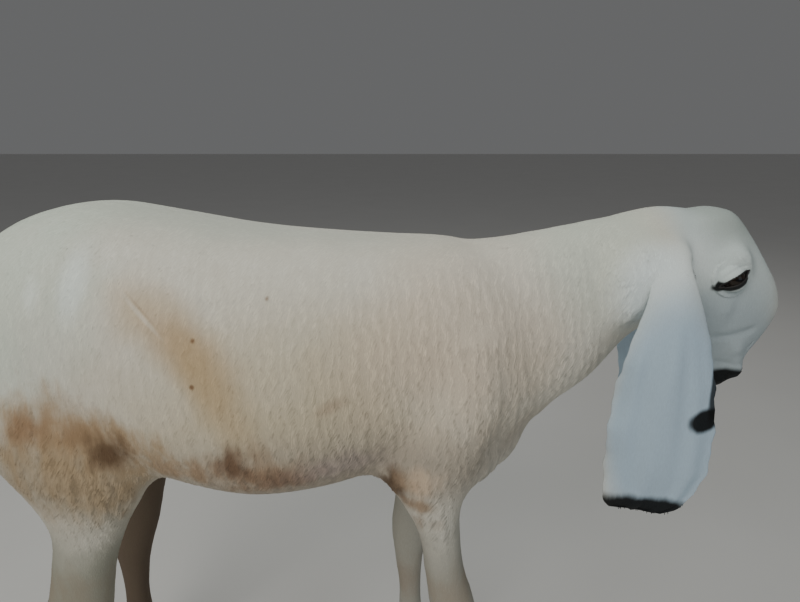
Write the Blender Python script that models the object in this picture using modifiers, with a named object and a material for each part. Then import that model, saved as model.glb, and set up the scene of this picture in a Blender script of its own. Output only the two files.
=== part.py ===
"""A shorn, long-eared, roman-nosed sheep, standing still with its face hung straight down.

The body is lofted from a few rows of sizes for each region, fused into one smooth form, and parted
by thin cuts into the pieces that a person would name. Metres, +X towards the head, +Y to the
sheep's left, +Z up, with the floor at z = 0.
"""

import math

import bmesh
import bpy
import numpy as np
from mathutils import Matrix, Vector

# ---------------------------------------------------------------- driving sizes
CUT_GAP = 0.0004  # between two parted pieces
FINE_VOXEL = 0.004  # grid of the fused body
BODY_FACES = 3500  # triangles of the fused body, before it is parted
HEAD_FACES = 5600  # and of the finer copy of it that the head is parted from
ROW_FRAME_SHIFT = Vector((0.0693, -0.0054, 0.0))  # puts the middle of the box over the origin
LIFE_SCALE = 1.05  # from the rows, set for a small ewe, to one 0.77 m high at the withers

HEAD_LENGTH = 0.240
EYE_RADIUS = 0.0140

# Trunk rows: x, top, belly, half width, height of the widest point as a share of the depth.
TRUNK_ROWS = (
    (-0.532, 0.610, 0.550, 0.028, 0.5),
    (-0.518, 0.654, 0.520, 0.072, 0.5),
    (-0.484, 0.704, 0.490, 0.106, 0.5),
    (-0.446, 0.737, 0.480, 0.126, 0.5),
    (-0.400, 0.760, 0.472, 0.136, 0.48),
    (-0.330, 0.771, 0.460, 0.146, 0.45),
    (-0.250, 0.759, 0.442, 0.158, 0.42),
    (-0.165, 0.744, 0.428, 0.166, 0.40),
    (-0.085, 0.736, 0.436, 0.161, 0.42),
    (-0.010, 0.732, 0.454, 0.141, 0.44),
    (0.065, 0.728, 0.465, 0.118, 0.45),
    (0.125, 0.705, 0.480, 0.094, 0.45),
    (0.165, 0.660, 0.510, 0.062, 0.5),
)

# Neck rows: x, y, z of the middle, tilt of the ring in degrees, half depth, half width.
NECK_ROWS = (
    (0.000, 0.000, 0.590, 8, 0.125, 0.095),
    (0.070, 0.000, 0.602, 14, 0.126, 0.092),
    (0.135, 0.002, 0.620, 19, 0.114, 0.081),
    (0.195, 0.006, 0.645, 22, 0.099, 0.070),
    (0.250, 0.012, 0.677, 20, 0.076, 0.062),
    (0.305, 0.020, 0.692, 16, 0.069, 0.056),
    (0.345, 0.026, 0.693, 10, 0.064, 0.050),
)

# Head pose: the poll, the angle of the face below the horizontal, and the turn towards -Y.
POLL = Vector((0.352, 0.030, 0.735))
FACE_DROP = math.radians(82)
FACE_TURN = math.radians(16)

# Head rows: distance from the poll, forehead side, jaw side, half width, height of widest point
# as a share of the depth. The profile is strongly arched, as in a roman nose.
HEAD_ROWS = (
    (-0.018, 0.022, -0.036, 0.026, 0.50),
    (-0.010, 0.040, -0.052, 0.040, 0.50),
    (0.018, 0.057, -0.070, 0.050, 0.46),
    (0.050, 0.072, -0.080, 0.056, 0.46),
    (0.080, 0.084, -0.081, 0.055, 0.46),
    (0.105, 0.086, -0.072, 0.049, 0.48),
    (0.125, 0.079, -0.055, 0.042, 0.50),
    (0.145, 0.067, -0.038, 0.036, 0.50),
    (0.165, 0.052, -0.024, 0.032, 0.50),
    (0.183, 0.039, -0.014, 0.028, 0.50),
    (0.197, 0.029, -0.004, 0.022, 0.50),
    (0.205, 0.021, 0.006, 0.012, 0.50),
)

# Leg rows, from the body down: x, side of the middle line, z, half length, half width.
FORE_NEAR_ROWS = (
    (0.052, 0.070, 0.640, 0.070, 0.046),
    (0.040, 0.082, 0.560, 0.080, 0.050),
    (0.030, 0.086, 0.490, 0.066, 0.048),
    (0.036, 0.085, 0.440, 0.043, 0.039),
    (0.046, 0.083, 0.392, 0.029, 0.031),
    (0.053, 0.081, 0.340, 0.0265, 0.0265),
    (0.064, 0.080, 0.285, 0.030, 0.027),
    (0.065, 0.079, 0.235, 0.0235, 0.0225),
    (0.066, 0.079, 0.175, 0.0185, 0.0185),
    (0.067, 0.079, 0.115, 0.022, 0.022),
    (0.070, 0.079, 0.088, 0.026, 0.025),
    (0.080, 0.079, 0.060, 0.024, 0.024),
    (0.086, 0.079, 0.034, 0.028, 0.026),
    (0.088, 0.079, 0.004, 0.028, 0.026),
)
FORE_FAR_SHIFT = ((0.49, 0.0), (0.27, -0.052), (0.03, -0.050))  # z and the shift along x

HIND_NEAR_ROWS = (
    (-0.395, 0.072, 0.650, 0.100, 0.058),
    (-0.385, 0.086, 0.570, 0.110, 0.062),
    (-0.357, 0.094, 0.505, 0.095, 0.060),
    (-0.348, 0.096, 0.455, 0.073, 0.050),
    (-0.354, 0.095, 0.405, 0.048, 0.039),
    (-0.368, 0.093, 0.355, 0.039, 0.033),
    (-0.383, 0.091, 0.288, 0.040, 0.029),
    (-0.388, 0.090, 0.242, 0.031, 0.026),
    (-0.389, 0.090, 0.205, 0.0235, 0.022),
    (-0.390, 0.090, 0.155, 0.020, 0.019),
    (-0.390, 0.090, 0.112, 0.023, 0.022),
    (-0.386, 0.090, 0.088, 0.027, 0.026),
    (-0.374, 0.090, 0.060, 0.024, 0.024),
    (-0.367, 0.090, 0.034, 0.028, 0.026),
    (-0.365, 0.090, 0.004, 0.028, 0.026),
)
HIND_FAR_SHIFT = ((0.51, 0.0), (0.285, -0.011), (0.03, -0.017))
HOCK_HEIGHT = 0.285
CORONET_HEIGHT = 0.034  # the hair line above the hoof
CORONET_SLOPE = 0.22  # and its rise towards the toe

# Ear rows: out of the head, forward, down, half width, half thickness, cupping.
EAR_ROWS = (
    (0.000, 0.000, -0.008, 0.0150, 0.0130, 0.000),
    (0.020, 0.002, -0.008, 0.0175, 0.0125, 0.000),
    (0.045, 0.008, -0.002, 0.0205, 0.0100, 0.003),
    (0.063, 0.010, 0.020, 0.0230, 0.0070, 0.006),
    (0.071, 0.012, 0.045, 0.0275, 0.0048, 0.010),
    (0.078, 0.012, 0.084, 0.0385, 0.0036, 0.013),
    (0.081, 0.011, 0.128, 0.0480, 0.0031, 0.014),
    (0.083, 0.011, 0.178, 0.0535, 0.0029, 0.012),
    (0.085, 0.010, 0.225, 0.0530, 0.0027, 0.010),
    (0.085, 0.006, 0.254, 0.0480, 0.0026, 0.007),
    (0.086, -0.001, 0.275, 0.0405, 0.0024, 0.004),
    (0.086, -0.005, 0.286, 0.0280, 0.0018, 0.000),
)
EAR_ROOT = (0.018, 0.046, -0.046)  # along the face, sideways and towards the forehead
EAR_STUB = Vector((0.022, 0.020, 0.022))  # radii of the root of the ear on the head
EAR_WAVE = 0.0035  # ripple of the rear edge
LEFT_EAR_SWING = 0.034  # how much further forward the tip of the left ear hangs

# Tail rows: x, z, half width, half thickness.
TAIL_ROWS = (
    (-0.512, 0.660, 0.026, 0.020),
    (-0.540, 0.652, 0.030, 0.022),
    (-0.560, 0.626, 0.032, 0.023),
    (-0.565, 0.588, 0.031, 0.022),
    (-0.561, 0.530, 0.028, 0.020),
    (-0.553, 0.465, 0.023, 0.017),
    (-0.547, 0.405, 0.018, 0.014),
    (-0.545, 0.370, 0.012, 0.010),
    (-0.545, 0.356, 0.005, 0.004),
)

EYE_CENTRE = (0.057, 0.0465, 0.0270)  # along the face, sideways and towards the forehead

NECK_CUT = (Vector((0.150, 0.0, 0.60)), math.radians(-22))  # a point of the plane, and its tilt
HEAD_CUT = (Vector((0.264, 0.0, 0.69)), math.radians(10))
THIGH_ARC = (-0.395, 0.520, 0.165)  # x, z and radius of the arc that parts the thigh
SHOULDER_ARC = (0.050, 0.550, 0.125)
INNER_SIDE = 0.036  # the legs are parted from the trunk this far from the middle plane

RING_STEPS = 34
RINGS_PER_ROW = 5


# ---------------------------------------------------------------- making forms
def refined(rows, per_row=RINGS_PER_ROW):
    """The rows with smooth ones between them, on a Catmull-Rom curve through the rows."""
    rows = np.array(rows, float)
    padded = np.vstack([2 * rows[0] - rows[1], rows, 2 * rows[-1] - rows[-2]])
    before, start, end, after = padded[:-3], padded[1:-2], padded[2:-1], padded[3:]
    t = np.linspace(0, 1, per_row, endpoint=False)[None, :, None]
    before, start, end, after = (part[:, None, :] for part in (before, start, end, after))
    curve = 0.5 * (
        2 * start
        + (end - before) * t
        + (2 * before - 5 * start + 4 * end - after) * t**2
        + (3 * start - before - 3 * end + after) * t**3
    )
    return np.vstack([curve.reshape(-1, rows.shape[1]), rows[-1]])


def power(value, exponent):
    return np.sign(value) * np.abs(value) ** exponent


def round_section(steps=RING_STEPS, squareness=2.0):
    """The cosine and sine of a ring, which a squareness over 2 fills out towards a box."""
    angle = np.linspace(0, 2 * math.pi, steps, endpoint=False)
    return power(np.cos(angle), 2 / squareness), power(np.sin(angle), 2 / squareness)


def mesh_object(name, points, faces):
    mesh = bpy.data.meshes.new(name)
    mesh.from_pydata([tuple(point) for point in points], [], faces)
    mesh.update()
    obj = bpy.data.objects.new(name, mesh)
    bpy.context.scene.collection.objects.link(obj)
    return obj


def loft(name, rings):
    """A closed form through rings of as many points, with a flat cap on its first and last."""
    rings = np.asarray(rings)
    count, steps = rings.shape[:2]
    index = np.arange(count * steps).reshape(count, steps)
    beside = np.roll(index, -1, axis=1)
    sides = np.stack([index[:-1], beside[:-1], beside[1:], index[1:]], axis=-1).reshape(-1, 4)
    faces = [tuple(face) for face in sides.tolist()]
    faces += [tuple(index[0][::-1].tolist()), tuple(index[-1].tolist())]
    obj = mesh_object(name, rings.reshape(-1, 3), faces)
    outward(obj.data)
    return obj


def outward(mesh):
    form = bmesh.new()
    form.from_mesh(mesh)
    bmesh.ops.recalc_face_normals(form, faces=form.faces)
    form.to_mesh(mesh)
    form.free()


def ellipsoid(name, centre, radii, frame=Matrix.Identity(4), steps=18):
    form = bmesh.new()
    bmesh.ops.create_uvsphere(form, u_segments=steps, v_segments=steps // 2, radius=1)
    size = Matrix.Diagonal((*radii, 1))
    bmesh.ops.transform(form, matrix=frame @ Matrix.Translation(centre) @ size, verts=form.verts)
    mesh = bpy.data.meshes.new(name)
    form.to_mesh(mesh)
    form.free()
    obj = bpy.data.objects.new(name, mesh)
    bpy.context.scene.collection.objects.link(obj)
    return obj


def evaluated_copy(obj, name):
    """A new object with the mesh that the modifiers give, in place of the old one."""
    graph = bpy.context.evaluated_depsgraph_get()
    mesh = bpy.data.meshes.new_from_object(obj.evaluated_get(graph))
    made = bpy.data.objects.new(name, mesh)
    bpy.context.scene.collection.objects.link(made)
    bpy.data.objects.remove(obj)
    return made


# ---------------------------------------------------------------- the forms of the body
def trunk_form():
    across, up = round_section(squareness=2.25)
    rings = []
    for x, top, belly, half, wide in refined(TRUNK_ROWS):
        middle = belly + wide * (top - belly)
        height = np.where(up > 0, top - middle, middle - belly) * up
        rings.append(np.stack([np.full_like(up, x), half * across, middle + height], axis=1))
    return loft("trunk_form", rings)


def neck_form():
    across, up = round_section()
    rings = []
    for x, y, z, tilt, depth, half in refined(NECK_ROWS):
        lean = math.radians(tilt)
        along_x = x - depth * up * math.sin(lean)
        rings.append(np.stack([along_x, y + half * across, z + depth * up * math.cos(lean)], axis=1))
    return loft("neck_form", rings)


def head_frame():
    """Axes along the face, to the sheep's left and out of the forehead, from the poll."""
    drop = Matrix.Rotation(FACE_DROP, 4, "Y")
    return Matrix.Translation(POLL) @ Matrix.Rotation(-FACE_TURN, 4, "Z") @ drop


def head_forms():
    frame = head_frame()
    across, up = round_section(squareness=2.2)
    rings = []
    for place, forehead, jaw, half, wide in refined(HEAD_ROWS):
        middle = jaw + wide * (forehead - jaw)
        height = middle + np.where(up > 0, forehead - middle, middle - jaw) * up
        narrowing = 1 - (0.12 + 1.6 * min(max(place, 0), 0.15)) * np.clip(up, 0, 1)
        ring = np.stack([np.full_like(up, place), half * across * narrowing, height], axis=1)
        rings.append([frame @ Vector(point) for point in ring])
    forms = [loft("head_form", rings)]
    for side in (-1, 1):
        forms += [
            ellipsoid("brow", (0.042, side * 0.0400, 0.0330), (0.024, 0.0130, 0.0190), frame),
            ellipsoid("cheekbone", (0.084, side * 0.0370, 0.0180), (0.034, 0.0140, 0.0150), frame),
            ellipsoid("jaw_muscle", (0.075, side * 0.0330, -0.0350), (0.044, 0.0220, 0.0340), frame),
            ellipsoid("nostril_wing", (0.172, side * 0.0180, 0.0330), (0.020, 0.0130, 0.0140), frame),
            ellipsoid("upper_lip", (0.182, side * 0.0150, 0.0140), (0.020, 0.0150, 0.0140), frame),
        ]
    forms.append(ellipsoid("chin", (0.178, 0, -0.0080), (0.020, 0.0190, 0.0110), frame))
    forms.append(ellipsoid("crown", (0.000, 0, 0.0050), (0.022, 0.0380, 0.0330), frame))
    return forms


def shifted(rows, shift):
    """Leg rows slid along x by an amount that changes with height."""
    heights, amounts = zip(*sorted(shift))
    rows = np.array(rows, float)
    rows[:, 0] += np.interp(rows[:, 2], heights, amounts)
    return rows


def leg_form(name, rows, side):
    across, along = round_section(squareness=2.1)
    rings = [
        np.stack([x + length * along, side * y + width * across, np.full_like(along, z)], axis=1)
        for x, y, z, length, width in refined(rows)
    ]
    return loft(name, rings)


def hock_point(rows, side):
    """The heel bone behind the hock, with the tendon that runs up to it."""
    x, y, z, length, _ = min(rows, key=lambda row: abs(row[2] - HOCK_HEIGHT))
    return ellipsoid("hock_point", (x - length * 0.62, side * y, z + 0.004), (0.018, 0.015, 0.030))


LEGS = {
    "fore_leg_right": (FORE_NEAR_ROWS, -1),
    "fore_leg_left": (shifted(FORE_NEAR_ROWS, FORE_FAR_SHIFT), 1),
    "hind_leg_right": (HIND_NEAR_ROWS, -1),
    "hind_leg_left": (shifted(HIND_NEAR_ROWS, HIND_FAR_SHIFT), 1),
}


def foot_x(name):
    """Where the middle of that foot's hair line lies along x."""
    rows, _ = LEGS[name]
    return min(rows, key=lambda row: row[2])[0]


def ear_axes(side):
    """The ear's root, then its ways out of the head and forward."""
    frame = head_frame()
    along, sideways, forehead = EAR_ROOT
    root = frame @ Vector((along, side * sideways, forehead))
    out = Vector((math.sin(FACE_TURN), math.cos(FACE_TURN), 0)) * side
    forward = Vector((math.cos(FACE_TURN), -math.sin(FACE_TURN), 0))
    return root, out, forward


def ear_stub(side):
    root, out, _ = ear_axes(side)
    turn = Matrix.Rotation(-FACE_TURN, 4, "Z")
    return ellipsoid("ear_stub", (0, 0, 0), EAR_STUB, Matrix.Translation(root + out * 0.012) @ turn)


def body_forms():
    forms = [trunk_form(), neck_form(), *head_forms()]
    forms += [ear_stub(-1), ear_stub(1)]
    for name, (rows, side) in LEGS.items():
        forms.append(leg_form(name + "_form", rows, side))
        if name.startswith("hind"):
            forms.append(hock_point(rows, side))
    forms.append(ellipsoid("tail_stub", (-0.516, 0, 0.636), (0.040, 0.030, 0.034)))
    forms.append(ellipsoid("chest", (0.070, 0, 0.540), (0.085, 0.095, 0.088)))
    forms.append(ellipsoid("brisket", (0.098, 0, 0.486), (0.062, 0.064, 0.060)))
    forms.append(ellipsoid("breast", (0.140, 0, 0.553), (0.056, 0.056, 0.062)))
    for side in (-1, 1):
        forms.append(ellipsoid("forearm", (0.082, side * 0.062, 0.478), (0.042, 0.034, 0.038)))
    return forms


# ---------------------------------------------------------------- fusing and parting
# Smoothing areas: centre, radii and share of the smoothing that reaches the fused body there.
SOFT_AREAS = (
    ((-0.20, 0.0, 0.58), (0.42, 0.30, 0.30), 1.0),
    ((0.12, 0.0, 0.60), (0.20, 0.24, 0.28), 1.0),
)
CRISP_SMOOTHING = 0.10


def fused_body():
    """The forms as one smooth mesh: melted together, softened more on the trunk than elsewhere."""
    forms = body_forms()
    shape = bmesh.new()
    for form in forms:
        shape.from_mesh(form.data)
    mesh = bpy.data.meshes.new("body")
    shape.to_mesh(mesh)
    shape.free()
    for form in forms:
        bpy.data.objects.remove(form)
    body = bpy.data.objects.new("body", mesh)
    bpy.context.scene.collection.objects.link(body)
    melt = body.modifiers.new("melt", "REMESH")
    melt.mode = "VOXEL"
    melt.voxel_size = FINE_VOXEL
    body = evaluated_copy(body, "body")

    points = np.empty(len(body.data.vertices) * 3)
    body.data.vertices.foreach_get("co", points)
    points = points.reshape(-1, 3)
    share = np.full(len(points), CRISP_SMOOTHING)
    for centre, radii, amount in SOFT_AREAS:
        reach = np.linalg.norm((points - centre) / radii, axis=1)
        share = np.maximum(share, amount * np.clip((1.15 - reach) / 0.35, 0, 1))
    group = body.vertex_groups.new(name="softness")
    for index, weight in enumerate(share.tolist()):
        group.add([index], weight, "REPLACE")
    soften = body.modifiers.new("soften", "SMOOTH")
    soften.factor = 0.5
    soften.iterations = 45
    soften.vertex_group = "softness"
    return evaluated_copy(body, "body")


def thinned(obj, faces):
    """A copy with about that many triangles."""
    copy = bpy.data.objects.new("thinned", obj.data.copy())
    bpy.context.scene.collection.objects.link(copy)
    thin = copy.modifiers.new("thin", "DECIMATE")
    thin.ratio = faces / (2 * len(obj.data.polygons))
    return evaluated_copy(copy, "thinned")


def combined(obj, other, operation, name, keep=False):
    """The result of a Boolean as a new object. The two objects it is made from go."""
    cut = obj.modifiers.new("cut", "BOOLEAN")
    cut.operation = operation
    cut.solver = "EXACT"
    cut.object = other
    graph = bpy.context.evaluated_depsgraph_get()
    mesh = bpy.data.meshes.new_from_object(obj.evaluated_get(graph))
    obj.modifiers.remove(cut)
    made = bpy.data.objects.new(name, mesh)
    bpy.context.scene.collection.objects.link(made)
    if not keep:
        bpy.data.objects.remove(obj)
    bpy.data.objects.remove(other)
    return made


def grown(obj, amount):
    """A copy with its surface moved out by an amount."""
    copy = bpy.data.objects.new("grown", obj.data.copy())
    bpy.context.scene.collection.objects.link(copy)
    swell = copy.modifiers.new("swell", "DISPLACE")
    swell.strength = amount
    swell.mid_level = 0
    return evaluated_copy(copy, "grown")


def half_space(point, tilt, ahead, gap=0.0):
    """A large block with one face through the point, in front of it or behind it along x."""
    size = 4
    turn = Matrix.Rotation(tilt, 4, "Y")
    middle = (size / 2 + gap) * (1 if ahead else -1)
    form = bmesh.new()
    bmesh.ops.create_cube(form, size=size)
    place = Matrix.Translation(point) @ turn @ Matrix.Translation((middle, 0, 0))
    bmesh.ops.transform(form, matrix=place, verts=form.verts)
    mesh = bpy.data.meshes.new("half_space")
    form.to_mesh(mesh)
    form.free()
    obj = bpy.data.objects.new("half_space", mesh)
    bpy.context.scene.collection.objects.link(obj)
    return obj


def leg_region(arc, side, gap=0.0, steps=24):
    """An arched prism from the inner side of a leg outwards, open below down past the floor."""
    x, z, radius = arc
    radius += gap
    angle = np.linspace(0, math.pi, steps)
    outline = [(x + radius * math.cos(a), z + radius * math.sin(a)) for a in angle]
    outline += [(x - radius, -0.1), (x + radius, -0.1)]
    inner = side * (INNER_SIDE - gap)
    outer = side * 0.4
    count = len(outline)
    points = [(px, inner, pz) for px, pz in outline] + [(px, outer, pz) for px, pz in outline]
    faces = [tuple(range(count)), tuple(range(2 * count - 1, count - 1, -1))]
    faces += [(i, i + count, (i + 1) % count + count, (i + 1) % count) for i in range(count)]
    obj = mesh_object("leg_region", points, faces)
    outward(obj.data)
    return obj


def main_part(obj):
    """Keeps only the largest joined piece, without loose crumbs that a cut leaves."""
    form = bmesh.new()
    form.from_mesh(obj.data)
    bmesh.ops.remove_doubles(form, verts=form.verts, dist=2e-6)
    left = set(form.verts)
    pieces = []
    while left:
        seed = left.pop()
        piece = {seed}
        front = [seed]
        while front:
            for edge in front.pop().link_edges:
                for vert in edge.verts:
                    if vert in left:
                        left.discard(vert)
                        piece.add(vert)
                        front.append(vert)
        pieces.append(piece)
    largest = max(pieces, key=len)
    bmesh.ops.delete(form, geom=[v for v in form.verts if v not in largest], context="VERTS")
    form.to_mesh(obj.data)
    form.free()
    return obj


# ---------------------------------------------------------------- separate pieces
def eye_centre(side):
    along, sideways, forehead = EYE_CENTRE
    return head_frame() @ Vector((along, side * sideways, forehead))


def ear_form(side):
    """A cupped sheet that hangs from the root of the ear, its rear edge rippled."""
    root, out, forward = ear_axes(side)
    down = Vector((0, 0, -1))
    across, through = round_section(16, 2.3)
    rows = refined(EAR_ROWS, 2)
    swing = LEFT_EAR_SWING / EAR_ROWS[-1][2] if side > 0 else 0
    middles = [
        root + out * aside + forward * (ahead + swing * max(fall, 0)) + down * fall
        for aside, ahead, fall, *_ in rows
    ]
    rings = []
    for i, row in enumerate(rows):
        travel = (middles[min(i + 1, len(rows) - 1)] - middles[max(i - 1, 0)]).normalized()
        thick = forward.cross(travel).normalized() * side
        _, _, fall, half, thickness, cup = row
        ripple = EAR_WAVE * math.sin(fall * 75) * min(max(fall / 0.1, 0), 1)
        ring = []
        for cosine, sine in zip(across, through):
            rear = max(-cosine, 0)
            bend = cup * (1 - cosine**2) + ripple * rear**2
            ring.append(middles[i] + forward * half * cosine + thick * (thickness * sine + bend))
        rings.append(ring)
    return loft("ear", rings)


def tail_form():
    across, through = round_section(16)
    rows = TAIL_ROWS
    rings = []
    for i, (x, z, half, thickness) in enumerate(rows):
        before, after = rows[max(i - 1, 0)], rows[min(i + 1, len(rows) - 1)]
        travel = Vector((after[0] - before[0], 0, after[1] - before[1])).normalized()
        thick = Vector((-travel.z, 0, travel.x))
        ring = [Vector((x, half * c, z)) + thick * thickness * s for c, s in zip(across, through)]
        rings.append(ring)
    return loft("tail", rings)


# Claw levels: share of the height, heel and toe from the middle of the hair line, half width.
CLAW_ROWS = (
    (0.00, -0.026, 0.041, 0.0128),
    (0.30, -0.027, 0.036, 0.0130),
    (0.65, -0.028, 0.031, 0.0128),
    (1.00, -0.027, 0.0265, 0.0122),
)
CLAW_OFFSET = 0.0138  # middle of a claw from the middle of its foot
CLAW_INNER = 0.0010  # where the flat inner wall of a claw lies, from the middle of the foot


def claw_form(name, x, y, side):
    """One half of a cloven hoof: flat sole, sloping toe, flat wall against the other half."""
    across, along = round_section(18, 2.3)
    rings = []
    for share, heel, toe, half in CLAW_ROWS:
        middle, reach = (heel + toe) / 2, (toe - heel) / 2
        point_x = middle + reach * along
        tip = np.clip(along, 0, 1) ** 2
        point_y = np.maximum(CLAW_OFFSET + half * across * (1 - 0.30 * tip) - 0.004 * tip, CLAW_INNER)
        top = CORONET_HEIGHT + CORONET_SLOPE * point_x - CUT_GAP
        rings.append(np.stack([x + point_x, y + side * point_y, share * top], axis=1))
    return loft(name, rings)


def dewclaw_form(name, x, y, side):
    return ellipsoid(name, (x - 0.0235, y + side * 0.0125, 0.083), (0.0085, 0.0075, 0.0105), steps=8)


# ---------------------------------------------------------------- materials
MATERIALS = {
    "wool": ((0.74, 0.63, 0.50), 0.95),
    "hair": ((0.76, 0.74, 0.70), 0.85),
    "horn": ((0.075, 0.060, 0.048), 0.50),
    "eye": ((0.030, 0.018, 0.010), 0.12),
}


def material(name):
    found = bpy.data.materials.get(name)
    if found:
        return found
    colour, roughness = MATERIALS[name]
    made = bpy.data.materials.new(name)
    made.use_nodes = True
    shader = made.node_tree.nodes["Principled BSDF"]
    shader.inputs["Base Color"].default_value = (*colour, 1)
    shader.inputs["Roughness"].default_value = roughness
    return made


def finished(obj, name, kind):
    """Names a piece, gives it its material and moves it into the part's own frame."""
    main_part(obj)
    obj.name = name
    obj.data.name = name
    obj.data.transform(Matrix.Scale(LIFE_SCALE, 4) @ Matrix.Translation(ROW_FRAME_SHIFT))
    obj.data.materials.clear()
    obj.data.materials.append(material(kind))
    obj.vertex_groups.clear()
    for polygon in obj.data.polygons:
        polygon.material_index = 0
    return obj


# ---------------------------------------------------------------- the sheep
for old in list(bpy.data.objects):
    bpy.data.objects.remove(old)

whole = fused_body()
head = thinned(whole, HEAD_FACES)
head = combined(head, half_space(*HEAD_CUT, True, CUT_GAP / 2), "INTERSECT", "head")
body = thinned(whole, BODY_FACES)
bpy.data.objects.remove(whole)
for name, (rows, side) in LEGS.items():
    arc = SHOULDER_ARC if name.startswith("fore") else THIGH_ARC
    leg = combined(body, leg_region(arc, side), "INTERSECT", name, keep=True)
    body = combined(body, leg_region(arc, side, CUT_GAP), "DIFFERENCE", "body")
    foot = foot_x(name)
    hair_line = Vector((foot, 0, CORONET_HEIGHT))
    above = half_space(hair_line, -math.pi / 2 - math.atan(CORONET_SLOPE), True)
    leg = combined(leg, above, "INTERSECT", name)
    y = side * min(rows, key=lambda row: row[2])[1]
    joint = name.replace("_leg", "")
    for place, sign in (("outer", side), ("inner", -side)):
        label = f"hoof_{joint}_{place}"
        finished(claw_form(label, foot, y, sign), label, "horn")
        label = f"dewclaw_{joint}_{place}"
        heel = np.interp(0.083, *zip(*sorted((row[2], row[0]) for row in rows)))
        claw = combined(dewclaw_form(label, heel, y, sign), grown(leg, CUT_GAP), "DIFFERENCE", label)
        finished(claw, label, "horn")
    finished(leg, name, "wool")

body = combined(body, half_space(*HEAD_CUT, False, CUT_GAP / 2), "INTERSECT", "body")
neck = combined(body, half_space(*NECK_CUT, True, CUT_GAP / 2), "INTERSECT", "neck", keep=True)
body = combined(body, half_space(*NECK_CUT, False, CUT_GAP / 2), "INTERSECT", "body")

for side, word in ((-1, "right"), (1, "left")):
    centre = eye_centre(side)
    socket = ellipsoid("socket", centre, (EYE_RADIUS + CUT_GAP,) * 3, steps=14)
    head = combined(head, socket, "DIFFERENCE", "head")
    ear = combined(ear_form(side), grown(head, CUT_GAP), "DIFFERENCE", "ear")
    ear = combined(ear, grown(neck, CUT_GAP), "DIFFERENCE", "ear")
    finished(ear, f"ear_{word}", "hair")
    finished(ellipsoid("eye", centre, (EYE_RADIUS,) * 3, steps=14), f"eye_{word}", "eye")

tail = combined(tail_form(), grown(body, CUT_GAP), "DIFFERENCE", "tail")
finished(tail, "tail", "wool")
finished(head, "head", "hair")
finished(neck, "neck", "wool")
finished(body, "trunk", "wool")
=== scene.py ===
"""A shorn sheep with long hanging ears, standing still, dressed over its fixed frame.

Lengths are in metres, +X towards the head, +Y to the sheep's left, +Z up, with the floor at z = 0.
The sheep's forms are drawn at the size of a small ewe, and life_size() sets them in the frame.
"""

import math

import bmesh
import bpy
import numpy as np
from mathutils import Matrix, Vector


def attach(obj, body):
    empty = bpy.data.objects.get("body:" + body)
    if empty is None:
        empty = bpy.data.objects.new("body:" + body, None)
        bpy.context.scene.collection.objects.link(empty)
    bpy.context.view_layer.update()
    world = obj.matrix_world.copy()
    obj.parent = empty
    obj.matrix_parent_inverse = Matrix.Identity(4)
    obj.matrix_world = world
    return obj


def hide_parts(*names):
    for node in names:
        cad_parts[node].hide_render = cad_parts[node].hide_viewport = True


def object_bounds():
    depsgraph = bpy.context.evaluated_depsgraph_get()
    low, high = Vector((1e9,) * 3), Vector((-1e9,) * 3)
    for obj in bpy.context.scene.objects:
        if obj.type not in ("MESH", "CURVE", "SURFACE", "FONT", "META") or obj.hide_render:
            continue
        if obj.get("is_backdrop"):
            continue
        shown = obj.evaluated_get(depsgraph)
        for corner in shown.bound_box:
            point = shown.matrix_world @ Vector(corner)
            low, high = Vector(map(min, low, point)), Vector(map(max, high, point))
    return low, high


# ------------------------------------------------------------------ the frame and the view
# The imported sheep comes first, as the fixed frame that every piece is fitted to. The view is that
# of someone who stands close to its right side and looks a little down on it.
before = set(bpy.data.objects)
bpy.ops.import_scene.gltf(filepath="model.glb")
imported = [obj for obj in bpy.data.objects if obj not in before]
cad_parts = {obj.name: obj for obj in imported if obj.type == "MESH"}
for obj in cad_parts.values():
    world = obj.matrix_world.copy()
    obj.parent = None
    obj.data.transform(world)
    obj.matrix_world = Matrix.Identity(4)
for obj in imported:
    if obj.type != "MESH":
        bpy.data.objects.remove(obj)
frame_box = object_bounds()

DRAWN_TO_FRAME = np.array((0.0693, -0.0054, 0.0))
LIFE_SCALE = 1.05


def life_size(points):
    """A drawn place in the frame: moved by a fixed step, then enlarged from the floor up."""
    return (np.asarray(points, float) + DRAWN_TO_FRAME) * LIFE_SCALE


camera = bpy.data.objects.new("camera", bpy.data.cameras.new("camera"))
camera.data.lens = 28
camera.data.sensor_width = 36
camera.data.clip_end = 60
camera.location = life_size((0.0, -0.70, 0.86))
camera.rotation_euler = (math.radians(73.2), 0, 0)
bpy.context.scene.collection.objects.link(camera)
bpy.context.scene.camera = camera


# ------------------------------------------------------------------ the studio
# A plain pale floor and four large soft lamps under a pale sky, none of them part of the sheep.
# The main lamp is up and to the left of the view, as over the animal's shoulder.
def plug(tree, made, sockets):
    """Gives each of a node's inputs, by name or number, a value or another node's output."""
    for key, value in sockets.items():
        if isinstance(value, bpy.types.NodeSocket):
            tree.links.new(value, made.inputs[key])
        else:
            made.inputs[key].default_value = value


def node(tree, kind, output, sockets, **settings):
    """A new node with those settings and inputs, of which it gives the named output."""
    made = tree.nodes.new("ShaderNode" + kind)
    for key, value in settings.items():
        setattr(made, key, value)
    plug(tree, made, sockets)
    return made.outputs[output]


def mixed(tree, share, below, above):
    """A colour that goes from below, where the share is 0, to above, where it is 1."""
    ends = [(*end, 1) if isinstance(end, tuple) else end for end in (below, above)]
    sockets = {"Factor": share, "A": ends[0], "B": ends[1]}
    return node(tree, "Mix", "Result", sockets, data_type="RGBA")


def noise(tree, place, scale, detail=2.0, stretch=(1, 1, 1)):
    """A noise of so many waves a metre, with the place first multiplied along each axis."""
    place = node(tree, "Mapping", "Vector", {"Vector": place, "Scale": stretch})
    return node(tree, "TexNoise", "Fac", {"Vector": place, "Scale": scale, "Detail": detail})


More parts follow.
